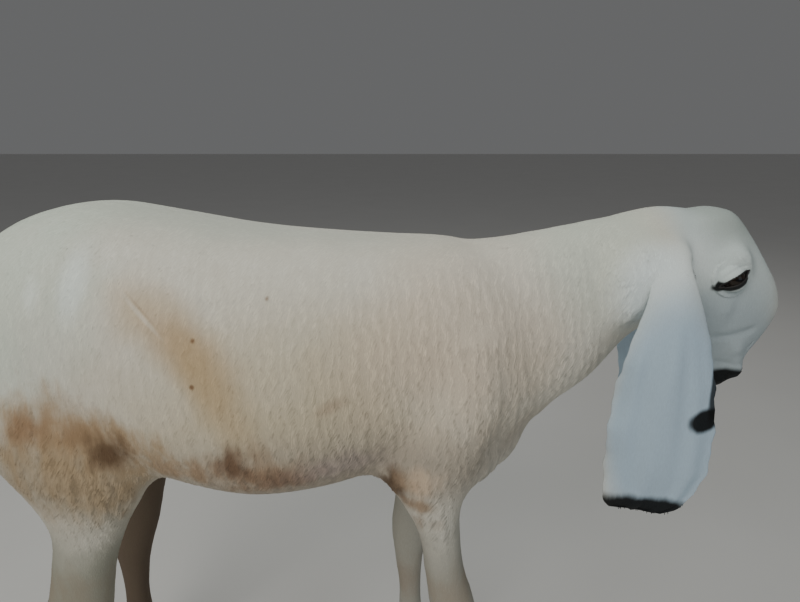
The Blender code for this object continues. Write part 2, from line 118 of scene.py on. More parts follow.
def new_material(name):
    """A material, its node tree and its Principled shader."""
    made = bpy.data.materials.new(name)
    made.use_nodes = True
    return made, made.node_tree, made.node_tree.nodes["Principled BSDF"]


def new_mesh(name, points, faces):
    """A mesh of an array of points, and of faces as lists of their numbers."""
    mesh = bpy.data.meshes.new(name)
    mesh.from_pydata(points.tolist(), [], faces)
    return mesh


def new_object(name, mesh, kind):
    """Links a mesh as an object at the origin, with one material."""
    obj = bpy.data.objects.new(name, mesh)
    bpy.context.scene.collection.objects.link(obj)
    mesh.materials.clear()
    mesh.materials.append(kind)
    return obj


floor_kind, tree, shader = new_material("studio_floor")
place = node(tree, "TexCoord", "Object", {})
pale = mixed(tree, noise(tree, place, 3), (0.64, 0.63, 0.61), (0.68, 0.67, 0.65))
plug(tree, shader, {"Base Color": pale, "Roughness": 0.75})
span = np.linspace(-14, 14, 15)
across, along = np.meshgrid(span, span)
floor_points = np.stack([across, along, np.full_like(across, -0.0006)], axis=-1).reshape(-1, 3)
index = np.arange(span.size**2).reshape(span.size, -1)
quads = np.stack([index[:-1, :-1], index[:-1, 1:], index[1:, 1:], index[1:, :-1]], axis=-1)
floor_mesh = new_mesh("floor", floor_points, quads.reshape(-1, 4).tolist())
floor = new_object("floor", floor_mesh, floor_kind)
floor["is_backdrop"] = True

LAMPS = (  # name, place, width, watts, colour
    ("key_lamp", (-1.0, -2.3, 2.2), 2.0, 44, (1.0, 0.98, 0.93)),
    ("fill_lamp", (2.0, -1.9, 1.5), 1.6, 5, (0.78, 0.91, 1.0)),
    ("top_lamp", (-0.3, 0.1, 2.6), 1.8, 15, (0.94, 1.0, 0.96)),
    ("back_lamp", (-0.3, 2.6, 1.9), 2.0, 14, (1.0, 0.98, 0.95)),
)
LAMP_AIM = Vector((0.05, 0, 0.45))
for name, spot, width, watts, colour in LAMPS:
    lamp = bpy.data.lights.new(name, "AREA")
    lamp.size, lamp.energy, lamp.color = width, watts, colour
    holder = bpy.data.objects.new(name, lamp)
    holder.location = spot
    holder.rotation_euler = (Vector(spot) - LAMP_AIM).to_track_quat("Z", "Y").to_euler()
    bpy.context.scene.collection.objects.link(holder)
sky = bpy.data.worlds.new("sky")
sky.use_nodes = True
glow = sky.node_tree.nodes["Background"]
plug(sky.node_tree, glow, {"Color": (0.80, 0.81, 0.82, 1), "Strength": 0.17})
bpy.context.scene.world = sky


# ------------------------------------------------------------------ the skin
# One whole hide from the muzzle to the tail, which replaces all the fixed nodes of flesh. Forms
# for each region are melted together, softened, and drawn in under the coat by the coat's depth.
SKIN_GRID = 0.0066  # width of the faces of the melted forms
SKIN_ROUNDS = 9  # softening rounds over the trunk

TRUNK_ROWS = (  # x, top, belly, half width, height of the widest point as a share of the depth
    (-0.532, 0.610, 0.550, 0.028, 0.5),
    (-0.518, 0.654, 0.520, 0.072, 0.5),
    (-0.484, 0.704, 0.490, 0.106, 0.5),
    (-0.446, 0.737, 0.480, 0.126, 0.5),
    (-0.400, 0.760, 0.472, 0.136, 0.48),
    (-0.330, 0.771, 0.460, 0.146, 0.45),
    (-0.250, 0.759, 0.442, 0.158, 0.42),
    (-0.165, 0.744, 0.428, 0.166, 0.40),
    (-0.085, 0.736, 0.436, 0.161, 0.42),
    (-0.010, 0.732, 0.454, 0.141, 0.44),
    (0.065, 0.728, 0.465, 0.118, 0.45),
    (0.125, 0.705, 0.480, 0.094, 0.45),
    (0.165, 0.660, 0.510, 0.062, 0.5),
)
NECK_ROWS = (  # x, y, z of the middle, tilt of the ring in degrees, half depth, half width
    (0.000, 0.000, 0.590, 8, 0.125, 0.095),
    (0.070, 0.000, 0.602, 14, 0.126, 0.092),
    (0.135, 0.002, 0.620, 19, 0.114, 0.081),
    (0.195, 0.006, 0.645, 22, 0.099, 0.070),
    (0.250, 0.012, 0.677, 20, 0.076, 0.062),
    (0.305, 0.020, 0.692, 16, 0.069, 0.056),
    (0.345, 0.026, 0.693, 10, 0.064, 0.050),
)
HEAD_ROWS = (  # down the face from the poll, forehead side, jaw side, half width, widest share
    (-0.018, 0.022, -0.036, 0.026, 0.50),
    (-0.010, 0.040, -0.052, 0.040, 0.50),
    (0.018, 0.057, -0.070, 0.050, 0.46),
    (0.050, 0.072, -0.080, 0.056, 0.46),
    (0.080, 0.084, -0.081, 0.055, 0.46),
    (0.105, 0.086, -0.072, 0.049, 0.48),
    (0.125, 0.079, -0.055, 0.042, 0.50),
    (0.145, 0.067, -0.038, 0.036, 0.50),
    (0.165, 0.052, -0.024, 0.032, 0.50),
    (0.183, 0.039, -0.014, 0.028, 0.50),
    (0.197, 0.029, -0.004, 0.022, 0.50),
    (0.205, 0.021, 0.006, 0.012, 0.50),
)
FORE_ROWS = (  # x, side of the middle line, z, half length, half width
    (0.052, 0.070, 0.640, 0.070, 0.046),
    (0.040, 0.082, 0.560, 0.080, 0.050),
    (0.030, 0.086, 0.490, 0.066, 0.048),
    (0.036, 0.085, 0.440, 0.043, 0.039),
    (0.046, 0.083, 0.392, 0.029, 0.031),
    (0.053, 0.081, 0.340, 0.0265, 0.0265),
    (0.064, 0.080, 0.285, 0.030, 0.027),
    (0.065, 0.079, 0.235, 0.0235, 0.0225),
    (0.066, 0.079, 0.175, 0.0185, 0.0185),
    (0.067, 0.079, 0.115, 0.022, 0.022),
    (0.070, 0.079, 0.088, 0.026, 0.025),
    (0.080, 0.079, 0.060, 0.024, 0.024),
    (0.086, 0.079, 0.036, 0.028, 0.026),
)
HIND_ROWS = (  # as in the fore legs
    (-0.395, 0.072, 0.650, 0.100, 0.058),
    (-0.385, 0.086, 0.570, 0.110, 0.062),
    (-0.357, 0.094, 0.505, 0.095, 0.060),
    (-0.348, 0.096, 0.455, 0.073, 0.050),
    (-0.354, 0.095, 0.405, 0.048, 0.039),
    (-0.368, 0.093, 0.355, 0.039, 0.033),
    (-0.383, 0.091, 0.288, 0.040, 0.029),
    (-0.388, 0.090, 0.242, 0.031, 0.026),
    (-0.389, 0.090, 0.205, 0.0235, 0.022),
    (-0.390, 0.090, 0.155, 0.020, 0.019),
    (-0.390, 0.090, 0.112, 0.023, 0.022),
    (-0.386, 0.090, 0.088, 0.027, 0.026),
    (-0.374, 0.090, 0.060, 0.024, 0.024),
    (-0.367, 0.090, 0.036, 0.028, 0.026),
)
FORE_STRIDE = ((0.49, 0.0), (0.27, -0.052), (0.03, -0.050))  # z, and the left leg's step back
HIND_STRIDE = ((0.51, 0.0), (0.285, -0.011), (0.03, -0.017))
TAIL_ROWS = (  # x, z, half width, half thickness
    (-0.512, 0.660, 0.026, 0.020),
    (-0.540, 0.652, 0.030, 0.022),
    (-0.560, 0.626, 0.032, 0.023),
    (-0.565, 0.588, 0.031, 0.022),
    (-0.561, 0.530, 0.028, 0.020),
    (-0.553, 0.465, 0.023, 0.017),
    (-0.547, 0.405, 0.018, 0.014),
    (-0.545, 0.370, 0.012, 0.010),
    (-0.545, 0.356, 0.005, 0.004),
)
POLL = np.array((0.352, 0.030, 0.735))
HEAD_TURN, HEAD_DROOP = math.radians(16), math.radians(82)  # to the right, and down
HEAD_AXES = Matrix.Rotation(-HEAD_TURN, 3, "Z") @ Matrix.Rotation(HEAD_DROOP, 3, "Y")
HEAD_AXES = np.array(HEAD_AXES)
EYE_CENTRE = np.array((0.057, 0.0465, 0.0270))
EYE_RADIUS = 0.0140

def finer(rows, steps=5):
    """The rows with smooth ones between them, on a Catmull-Rom curve through the rows."""
    rows = np.array(rows, float)
    padded = np.vstack([2 * rows[0] - rows[1], rows, 2 * rows[-1] - rows[-2]])
    before, start, end, after = (padded[i : len(padded) - 3 + i, None] for i in range(4))
    t = np.linspace(0, 1, steps, endpoint=False)[None, :, None]
    curve = start + 0.5 * (
        (end - before) * t
        + (2 * before - 5 * start + 4 * end - after) * t**2
        + (3 * start - before - 3 * end + after) * t**3
    )
    return np.vstack([curve.reshape(-1, rows.shape[1]), rows[-1]])


def columns(rows, steps=5):
    """The finer rows' columns, each of them an upright array."""
    return finer(rows, steps).T[..., None]


def ring(steps=40, squareness=2.0):
    """Cosine and sine round a ring, each raised to 2 / squareness, which fills it towards a box."""
    angle = np.linspace(0, 2 * math.pi, steps, endpoint=False)
    return [np.sign(v) * np.abs(v) ** (2 / squareness) for v in (np.cos(angle), np.sin(angle))]


def tube(rings):
    """Quads between rings of equal count, and a fan from the middle of the first and last ring."""
    count, steps = rings.shape[:2]
    index = np.arange(count * steps).reshape(count, steps)
    beside = np.roll(index, -1, axis=1)
    sides = np.stack([index[:-1], beside[:-1], beside[1:], index[1:]], axis=-1).reshape(-1, 4)
    pole = np.full(steps, count * steps)
    start = np.stack([beside[0], index[0], pole], axis=-1)
    end = np.stack([index[-1], beside[-1], pole + 1], axis=-1)
    points = np.vstack([rings.reshape(-1, 3), rings[0].mean(0), rings[-1].mean(0)])
    return points, sides.tolist() + start.tolist() + end.tolist()


def rings_of(x, y, z):
    """Rings from their three coordinates, each of which may be one number a ring."""
    return np.stack(np.broadcast_arrays(x, y, z), axis=-1)


def unit(vectors):
    """The vectors, each divided by its length."""
    return vectors / np.linalg.norm(vectors, axis=-1, keepdims=True)


def sphere(rows, steps):
    """Rings of radius sin(latitude) at height cos(latitude), and the latitudes from the pole."""
    turn = np.linspace(0, math.pi, rows)[1:-1, None]
    across, up = ring(steps)
    return rings_of(np.sin(turn) * across, np.sin(turn) * up, np.cos(turn)), turn


def egg(centre, radii, steps=24):
    """An ellipsoid: a sphere times the radii, moved to the centre."""
    rings, _ = sphere(steps // 2 + 1, steps)
    return tube(rings * np.array(radii) + np.array(centre))


def out_of_head(points):
    """From places down the face, to the left and out of the forehead, to the drawn frame."""
    return points @ HEAD_AXES.T + POLL


def in_head(points):
    """The other way round: drawn places as down the face, to the left, out of the forehead."""
    return (points - POLL) @ HEAD_AXES


def barrel(rows, across, up):
    """Rings at each place: half width times cosine, and up or down from the widest height to the
    top or the bottom by sine. Gives the three coordinates."""
    place, top, bottom, half, wide = columns(rows)
    middle = bottom + wide * (top - bottom)
    height = middle + np.where(up > 0, top - middle, middle - bottom) * up
    return place, half * across, height


def trunk_form():
    """A barrel along x."""
    return tube(rings_of(*barrel(TRUNK_ROWS, *ring(squareness=2.25))))


def neck_form():
    """Rings that lean back by their tilt: half width times cosine, half depth times sine."""
    across, up = ring()
    x, y, z, tilt, depth, half = columns(NECK_ROWS)
    lean, reach = np.radians(tilt), depth * up
    return tube(rings_of(x - reach * np.sin(lean), y + half * across, z + reach * np.cos(lean)))


def head_form():
    """A barrel down the face, in the head's own axes, drawn in at the bridge of the nose."""
    across, up = ring(squareness=2.2)
    place, width, height = barrel(HEAD_ROWS, across, up)
    narrowing = 1 - (0.12 + 1.6 * np.clip(place, 0, 0.15)) * np.clip(up, 0, 1)
    points, faces = tube(rings_of(place, width * narrowing, height))
    return out_of_head(points), faces


def head_lump(centre, radii, side=1):
    """An ellipsoid set in the head's own axes, mirrored to the right side where side is -1."""
    points, faces = egg(np.array(centre) * (1, side, 1), radii)
    return out_of_head(points), faces


def leg_form(rows, side):
    """Level rings down the leg: half length times cosine along x, half width times sine."""
    across, along = ring(squareness=2.1)
    x, y, z, length, width = columns(rows)
    return tube(rings_of(x + length * along, side * y + width * across, z))


def strided(rows, stride):
    """Leg rows slid along x by an amount that changes with height."""
    rows = np.array(rows, float)
    heights, amounts = np.array(sorted(stride)).T
    rows[:, 0] += np.interp(rows[:, 2], heights, amounts)
    return rows


def tail_form():
    """Rings square to the tail's own path, half width across and half thickness through."""
    across, through = ring(16)
    x, z, half, thick = columns(TAIL_ROWS, 3)
    run = unit(np.gradient(np.hstack([x, z]), axis=0))
    away = thick * through
    return tube(rings_of(x - run[:, 1:] * away, half * across, z + run[:, :1] * away))


LEGS = {
    "fore_leg_right": (np.array(FORE_ROWS), -1),
    "fore_leg_left": (strided(FORE_ROWS, FORE_STRIDE), 1),
    "hind_leg_right": (np.array(HIND_ROWS), -1),
    "hind_leg_left": (strided(HIND_ROWS, HIND_STRIDE), 1),
}

# The ear is a wide sheet that comes out of the head as a stalk, turns over and hangs, its front
# margin rolled, its back margin rippled, with two long soft folds down its face.
EAR_ROWS = (  # out of the head, forward, down, half width, half thickness, cupping
    (0.000, 0.000, -0.008, 0.0150, 0.0130, 0.000),
    (0.020, 0.002, -0.008, 0.0175, 0.0125, 0.000),
    (0.045, 0.008, -0.002, 0.0205, 0.0100, 0.003),
    (0.063, 0.010, 0.020, 0.0230, 0.0070, 0.006),
    (0.071, 0.012, 0.045, 0.0275, 0.0048, 0.010),
    (0.078, 0.012, 0.084, 0.0385, 0.0036, 0.013),
    (0.081, 0.011, 0.128, 0.0480, 0.0031, 0.014),
    (0.083, 0.011, 0.178, 0.0535, 0.0029, 0.012),
    (0.085, 0.010, 0.225, 0.0530, 0.0027, 0.010),
    (0.085, 0.006, 0.254, 0.0480, 0.0026, 0.007),
    (0.086, -0.001, 0.275, 0.0405, 0.0024, 0.004),
    (0.086, -0.005, 0.286, 0.0280, 0.0018, 0.000),
)
EAR_ROOT = np.array((0.018, 0.046, -0.046))
EAR_SWING = {-1: 0.0, 1: 0.034}  # how much further forward the tip of the left ear hangs


def rise(value, low, high):
    """A smooth step from 0 at low to 1 at high: 3 t squared less 2 t cubed."""
    t = np.clip((np.asarray(value, float) - low) / (high - low), 0, 1)
    return t * t * (3 - 2 * t)


def ear_axes(side):
    """The ear's root, and its ways out of the head and forward."""
    sine, cosine = math.sin(HEAD_TURN), math.cos(HEAD_TURN)
    out = np.array((sine, cosine, 0)) * side
    return out_of_head(EAR_ROOT * (1, side, 1)), out, np.array((cosine, -sine, 0))


def ear_rings(side, steps, finer_steps=8, thin=0.0, first=0, grow=()):
    """Rings along the ear's path from the first one on: half width times cosine forward, half
    thickness times sine through it, bent by the cupping, the folds, the rolled front margin and
    the back ripple. Its first rings are scaled by grow, one number a ring."""
    root, out, forward = ear_axes(side)
    across, through = ring(steps, 2.3)
    rows = finer(EAR_ROWS, finer_steps)[first:]
    rows[: len(grow), 3:5] *= np.reshape(grow, (-1, 1))
    aside, ahead, fall, half, thick, cup = rows.T[..., None]
    swing = EAR_SWING[side] / EAR_ROWS[-1][2] * np.clip(fall, 0, None)
    middle = root + out * aside + forward * (ahead + swing) - np.array((0, 0, 1)) * fall
    run = np.gradient(middle, axis=0)
    thick_way = np.cross(forward, run)
    thick_way *= side / np.linalg.norm(thick_way, axis=1, keepdims=True)
    hang = rise(fall, 0.05, 0.12)
    back = np.clip(-across, 0, 1)
    ripple = 0.0035 * np.sin(75 * fall) * np.clip(fall / 0.1, 0, 1) * back**2
    folds = 0.0016 * np.sin(8.2 * across + 9 * fall) + 0.0010 * np.sin(15 * across - 14 * fall + 1)
    roll = 0.0030 * np.clip(across, 0, 1) ** 10
    margin = 0.0016 * np.sin(190 * fall + 2.5 * np.sign(across)) * np.sin(61 * fall)
    bend = cup * (1 - across**2) + ripple + hang * (folds * (1 - across**8) + roll)
    body = (thick * (1 + 0.5 * hang * np.clip(across, 0, 1) ** 4) - thin) * through
    width = half * across + hang * margin * np.abs(across) ** 3
    return (
        middle[:, None]
        + forward * width[..., None]
        + thick_way[:, None] * (body + bend)[..., None]
    )


def melted(forms, grid):
    """The forms as one closed surface of quads on a grid of that size."""
    shape = bmesh.new()
    for points, faces in forms:
        mesh = new_mesh("form", points, faces)
        shape.from_mesh(mesh)
        bpy.data.meshes.remove(mesh)
    bmesh.ops.recalc_face_normals(shape, faces=shape.faces)
    together = bpy.data.meshes.new("forms")
    shape.to_mesh(together)
    shape.free()
    holder = bpy.data.objects.new("forms", together)
    bpy.context.scene.collection.objects.link(holder)
    melt = holder.modifiers.new("melt", "REMESH")
    melt.mode = "VOXEL"
    melt.voxel_size = grid
    graph = bpy.context.evaluated_depsgraph_get()
    made = bpy.data.meshes.new_from_object(holder.evaluated_get(graph))
    bpy.data.objects.remove(holder)
    return made


def read(items, key, width=3, kind=float):
    """One property of all of a mesh's vertices, edges or faces, as an array of rows."""
    flat = np.empty(len(items) * width, kind)
    items.foreach_get(key, flat)
    return flat.reshape(-1, width)


def set_points(mesh, points):
    """Moves the mesh's vertices to an array of places."""
    mesh.vertices.foreach_set("co", np.asarray(points, float).ravel())
    mesh.update()


def relaxed(mesh, points, weight, rounds):
    """In each round a point goes half its weight of the way to the mean of its neighbours."""
    edges = read(mesh.edges, "vertices", 2, int)
    first, second = edges.T
    size = len(points)
    counts = np.maximum(np.bincount(edges.ravel(), minlength=size), 1)[:, None]
    step = 0.5 * np.broadcast_to(weight, (size,))[:, None]
    for _ in range(rounds):
        total = [
            np.bincount(first, axis[second], size) + np.bincount(second, axis[first], size)
            for axis in points.T
        ]
        points = points + step * (np.stack(total, axis=1) / counts - points)
    return points


def nearness(points, centre, radii):
    """How far out of an ellipsoid each point is: 0 at its middle, 1 on it."""
    return np.linalg.norm((points - np.array(centre)) / np.array(radii), axis=1)


def coat_regions(points):
    """Shares, 0 to 1, of each drawn place in the head, lower legs, tail, thigh and belly."""
    x, y, z = points.T
    tail = rise(-x, 0.522, 0.542)
    head = rise(x, 0.235, 0.315)
    leg = (1 - rise(z, 0.33, 0.44)) * (1 - head) * (1 - tail)
    thigh = 1 - rise(nearness(points * (1, 0, 1), (-0.40, 0, 0.49), (0.15, 1, 0.11)), 0.75, 1.2)
    belly = (1 - rise(z, 0.455, 0.50)) * (1 - leg) * (1 - head) * (1 - tail)
    return {"head": head, "leg": leg, "tail": tail, "thigh": thigh, "belly": belly}


FACE_LUMPS = (  # on the left side, in head axes: centre and radii
    ((0.042, 0.0400, 0.0330), (0.024, 0.0130, 0.0190)),  # brow
    ((0.084, 0.0370, 0.0180), (0.034, 0.0140, 0.0150)),  # cheekbone
    ((0.075, 0.0330, -0.0350), (0.044, 0.0220, 0.0340)),  # jaw muscle
    ((0.172, 0.0180, 0.0330), (0.020, 0.0130, 0.0140)),  # nostril wing
    ((0.182, 0.0150, 0.0140), (0.020, 0.0150, 0.0140)),  # upper lip
)
BODY_LUMPS = (  # centre and radii
    ((-0.516, 0, 0.636), (0.040, 0.030, 0.034)),  # root of the tail
    ((0.070, 0, 0.540), (0.085, 0.095, 0.088)),  # chest
    ((0.098, 0, 0.486), (0.062, 0.064, 0.060)),  # brisket
    ((0.140, 0, 0.553), (0.056, 0.056, 0.062)),  # breast
    ((0.082, -0.062, 0.478), (0.042, 0.034, 0.038)),  # top of the right forearm
    ((0.082, 0.062, 0.478), (0.042, 0.034, 0.038)),  # and of the left one
    ((0.252, -0.046, 0.676), (0.032, 0.024, 0.044)),  # from the neck to the right ear
    ((0.266, -0.034, 0.704), (0.036, 0.028, 0.030)),
    ((0.294, 0.078, 0.702), (0.032, 0.030, 0.028)),  # and to the left ear
)
HOCK_ROW = 6  # of the hind leg's rows, where the heel bone stands out behind
STALK_RINGS = 11  # of the ear's rings, melted into the head
forms = [trunk_form(), neck_form(), head_form(), tail_form()]
forms += [leg_form(rows, side) for rows, side in LEGS.values()]
for rows, side in (LEGS["hind_leg_right"], LEGS["hind_leg_left"]):
    x, y, z, length, _ = rows[HOCK_ROW]
    forms.append(egg((x - length * 0.62, side * y, z + 0.001), (0.018, 0.015, 0.030)))
for side in (-1, 1):
    forms += [head_lump(centre, radii, side) for centre, radii in FACE_LUMPS]
    root, out, _ = ear_axes(side)
    forms.append(egg(root + out * 0.012, (0.022, 0.020, 0.022)))
    forms.append(egg(root + out * 0.030 + np.array((0.002, 0, -0.006)), (0.024, 0.026, 0.026)))
    swell = 1.04 + 0.35 * (1 - rise(np.arange(STALK_RINGS), 2, 10))  # spreads into the head
    forms.append(tube(ear_rings(side, 24, 3, grow=swell)[:STALK_RINGS]))
forms.append(head_lump((0.178, 0, -0.0080), (0.020, 0.0190, 0.0110)))  # chin
forms.append(head_lump((0.000, 0, 0.0050), (0.022, 0.0380, 0.0330)))  # crown
forms += [egg(centre, radii) for centre, radii in BODY_LUMPS]
hide = melted(forms, SKIN_GRID)

SOFT_MIDDLES = (  # centre and radii of the two spans of the trunk that are softened in full
    ((-0.20, 0, 0.58), (0.42, 0.30, 0.30)),
    ((0.12, 0, 0.60), (0.20, 0.24, 0.28)),
)
SOFT_JOINTS = (  # centre, radii, rounds: where one form runs on into the next with no edge
    ((0.095, 0.00, 0.470), (0.090, 0.17, 0.080), 26),  # brisket to fore legs
    ((0.275, -0.048, 0.718), (0.060, 0.050, 0.030), 16),  # neck to right ear
    ((0.315, 0.095, 0.712), (0.065, 0.060, 0.036), 22),  # neck to left ear
)
points = read(hide.vertices, "co")
softness = np.full(len(points), 0.18)
for centre, radii in SOFT_MIDDLES:
    near = np.clip((1.15 - nearness(points, centre, radii)) / 0.35, 0, 1)
    softness = np.maximum(softness, near)
points = relaxed(hide, points, softness, SKIN_ROUNDS)
for centre, radii, rounds in SOFT_JOINTS:
    near = 1 - rise(nearness(points, centre, radii), 0.55, 1.1)
    points = relaxed(hide, points, near, rounds)
set_points(hide, points)


def blend(share, body, leg, head, tail, thigh=0.0, belly=0.0):
    """A size for each place: the body's, shifted on thigh and belly, then the other regions'."""
    value = body + thigh * share["thigh"] + belly * share["belly"]
    value = value + (leg - value) * share["leg"]
    value = value + (head - value) * share["head"]
    return value + (tail - value) * share["tail"]


points = read(hide.vertices, "co")
tail_depth = 0.0015 + 0.003 * rise(points[:, 2], 0.38, 0.46)
coat_depth = blend(coat_regions(points), 0.0052, 0.0024, 0.0012, tail_depth, 0.0025, 0.001)
set_points(hide, points - read(hide.vertex_normals, "vector") * coat_depth[:, None])


def split_faces(mesh, wanted):
    """Cuts each wanted face into four, through the middles of its edges."""
    form = bmesh.new()
    form.from_mesh(mesh)
    form.faces.ensure_lookup_table()
    edges = {edge for index in np.flatnonzero(wanted).tolist() for edge in form.faces[index].edges}
    edges = sorted(edges, key=lambda edge: edge.index)
    bmesh.ops.subdivide_edges(form, edges=edges, cuts=1, use_grid_fill=True)
    form.to_mesh(mesh)
    form.free()


def on_face(places):
    """True for places, in head axes, in the box that holds the face."""
    down, left, out = places.T
    return (down > -0.03) & (down < 0.23) & (np.abs(left) < 0.08) & (out > -0.10)


def on_left(places):
    """Places in head axes with those of the right side mirrored onto the left."""
    return np.where((False, True, False), np.abs(places), places)


def near_features(places, reach):
    """True within a reach of the eyes and of the nose and mouth, for places in head axes."""
    down, left, out = on_left(places).T
    eye = np.linalg.norm(on_left(places) - EYE_CENTRE, axis=1) < 0.025 + reach
    return eye | ((down > 0.146 - reach) & (left < 0.05) & (out > -0.014 - reach))


for reach in (1.0, 0.016, 0.0):  # the whole face is made finer, and then its features twice more
    places = in_head(read(hide.polygons, "center"))
    split_faces(hide, on_face(places) & near_features(places, reach))
    points = read(hide.vertices, "co")
    set_points(hide, relaxed(hide, points, 0.8 * on_face(in_head(points)), 2))

# The lids are a dome over each eyeball with an almond opening, whose inner corner runs on into
# the tear duct. The creases, nostrils and mouth are pressed in along lines laid on the hide.
EYE_OUT = np.array((-0.06, 0.90, 0.40))
EYE_OUT /= np.linalg.norm(EYE_OUT)
EYE_ALONG = np.array((-0.40, 0.0, 0.92))
EYE_ALONG -= EYE_OUT * (EYE_ALONG @ EYE_OUT)
EYE_ALONG /= np.linalg.norm(EYE_ALONG)
EYE_UP = np.cross(EYE_OUT, EYE_ALONG)
EYE_UP *= -np.sign(EYE_UP[0])
EYE_BASIS = np.stack([EYE_ALONG, EYE_UP, EYE_OUT], axis=1)
SLIT = 0.0185  # half the length of the opening
LID_UP, LID_DOWN = 0.0056, 0.0040  # how far the lids' edges stand from its middle line
LID_THICK = 0.0020  # over the eyeball
EYE_REACH = 0.045  # how far from its middle the eye shapes the hide


def lid_edge(along, height):
    """How far the lid's edge is from the slit's middle line: an almond, fuller at the front."""
    share = np.clip(np.abs(along) / SLIT, 0, 1)
    return height * (1 - share**2.2) * (1 - 0.10 * along / SLIT)


def crease(depth, width, distance):
    """A groove's fall at a distance from its line: depth times e to minus (distance / width)^2."""
    return -depth * np.exp(-((distance / width) ** 2))


places = in_head(read(hide.vertices, "co"))
side = np.where(places[:, 1] < 0, -1.0, 1.0)
places[:, 1] *= side  # both eyes are shaped as the left one
local = (places - EYE_CENTRE) @ EYE_BASIS
near_eye = np.linalg.norm(local, axis=1) < EYE_REACH
along, up, out = local.T
spread = np.hypot(along, up)
dome = np.sqrt(np.clip((EYE_RADIUS + LID_THICK) ** 2 - spread**2, 0, None))
gap = dome - out
lifted = out + 0.5 * (gap + np.sqrt(gap**2 + 0.0022**2)) - 0.0006  # a soft maximum of both
out = np.where(near_eye & (spread < 0.022), lifted, out)
closed_lids = np.column_stack([along, up, out])[near_eye & (out > 0.002)]  # carry the lids' rims

inside = (up < lid_edge(along, LID_UP)) & (up > -lid_edge(along, LID_DOWN))
inside &= near_eye & (np.abs(along) < SLIT) & (out > 0)
sunk = np.maximum(np.sqrt(np.clip((EYE_RADIUS - 0.0030) ** 2 - spread**2, 0, None)), 0.004)
opened = np.minimum(out - 0.0012, np.where(spread < EYE_RADIUS, sunk, out - 0.0015))
out = np.where(inside, opened, out)

arc = along / SLIT
fold = crease(0.0013, 0.0013, np.abs(up - (0.0112 - 0.0050 * arc**2)))
fold += crease(0.0009, 0.0012, np.abs(up + (0.0092 - 0.0045 * arc**2)))
fold += 0.0012 * np.exp(-(((up - 0.0165) / 0.0042) ** 2))  # brow
fold *= np.exp(-((np.abs(arc) / 1.05) ** 6))
out = out + np.where(near_eye & (out > 0), fold, 0)
shaped = np.column_stack([along, up, out]) @ EYE_BASIS.T + EYE_CENTRE
places = np.where(near_eye[:, None], shaped, places)
places[:, 1] *= side
set_points(hide, out_of_head(places))


def line_distance(points, line, steps=14):
    """The distance of each point from a smooth curve through the line's places."""
    best = np.full(len(points), np.inf)
    for place in finer(line, steps):
        best = np.minimum(best, np.linalg.norm(points - place, axis=1))
    return best


def laid_on(points, line):
    """The line's places, each moved to the nearest of the points."""
    line = np.array(line, float)
    return points[np.linalg.norm(points[None] - line[:, None], axis=2).argmin(axis=1)]


FACE_LINES = (  # depth and width of the groove, and its places in head axes on the left side
    (0.0032, 0.0016,  # nostril
     ((0.148, 0.022, 0.060), (0.160, 0.021, 0.052), (0.172, 0.015, 0.046), (0.181, 0.009, 0.040))),
    (0.0018, 0.0012,  # mouth
     ((0.199, 0.000, 0.004), (0.194, 0.012, 0.002), (0.180, 0.024, 0.001), (0.160, 0.031, 0.000),
      (0.142, 0.035, 0.002))),
    (0.0014, 0.0012,  # cleft of the upper lip
     ((0.186, 0.000, 0.040), (0.197, 0.000, 0.026), (0.203, 0.000, 0.010))),
    (0.0032, 0.0042,  # fold across the nose
     ((0.130, 0.040, 0.010), (0.130, 0.037, 0.030), (0.127, 0.028, 0.052))),
    (0.0010, 0.0065,  # groove down from the eye
     ((0.076, 0.049, 0.044), (0.092, 0.047, 0.036), (0.112, 0.042, 0.026))),
    (0.0018, 0.0038,  # behind the nostril's wing
     ((0.168, 0.031, 0.050), (0.168, 0.031, 0.034), (0.164, 0.031, 0.014))),
)
FACE_SWELLS = (  # place in head axes on the left side, height and radius of the swelling
    ((0.149, 0.029, 0.036), 0.0062, 0.0120),
    ((0.186, 0.020, 0.016), 0.0012, 0.0085),
    ((0.108, 0.000, 0.088), 0.0010, 0.0200),
)
places = in_head(read(hide.vertices, "co"))
face = np.flatnonzero(on_face(places))
flank = on_left(places[face])
push = np.zeros((len(places), 1))
for depth, width, line in FACE_LINES:
    push[face, 0] += crease(depth, width, line_distance(flank, laid_on(flank, line)))
for centre, height, radius in FACE_SWELLS:
    away = np.linalg.norm(flank - np.array(centre), axis=1)
    push[face, 0] += height * np.exp(-((away / radius) ** 2))
outs = read(hide.vertex_normals, "vector") @ HEAD_AXES
set_points(hide, out_of_head(places + outs * push))


def laid_on_hide(points, skin, outs, reach=0.0045):
    """Each point moved along the hide's mean normal to the hide's mean level near it, the means
    weighted by a bell of the distance to each vertex. Gives the places and the normals."""
    close = np.linalg.norm(skin - points.mean(axis=0), axis=1) < 0.11
    skin, outs = skin[close], outs[close]
    away = ((points[:, None] - skin[None]) ** 2).sum(axis=2)
    nearest = away.min(axis=1, keepdims=True)
    weight = np.exp(-(away - nearest) / (2 * reach**2))
    weight /= weight.sum(axis=1, keepdims=True)
    level, normal = weight @ skin, unit(weight @ outs)
    return points - normal * ((points - level) * normal).sum(axis=1, keepdims=True), normal


def closed_mesh(name, points, faces):
    """A mesh from points and faces, its faces turned outwards, shaded smooth."""
    mesh = new_mesh(name, points, faces)
    form = bmesh.new()
    form.from_mesh(mesh)
    bmesh.ops.recalc_face_normals(form, faces=form.faces)
    form.to_mesh(mesh)
    form.free()
    mesh.shade_smooth()
    return mesh


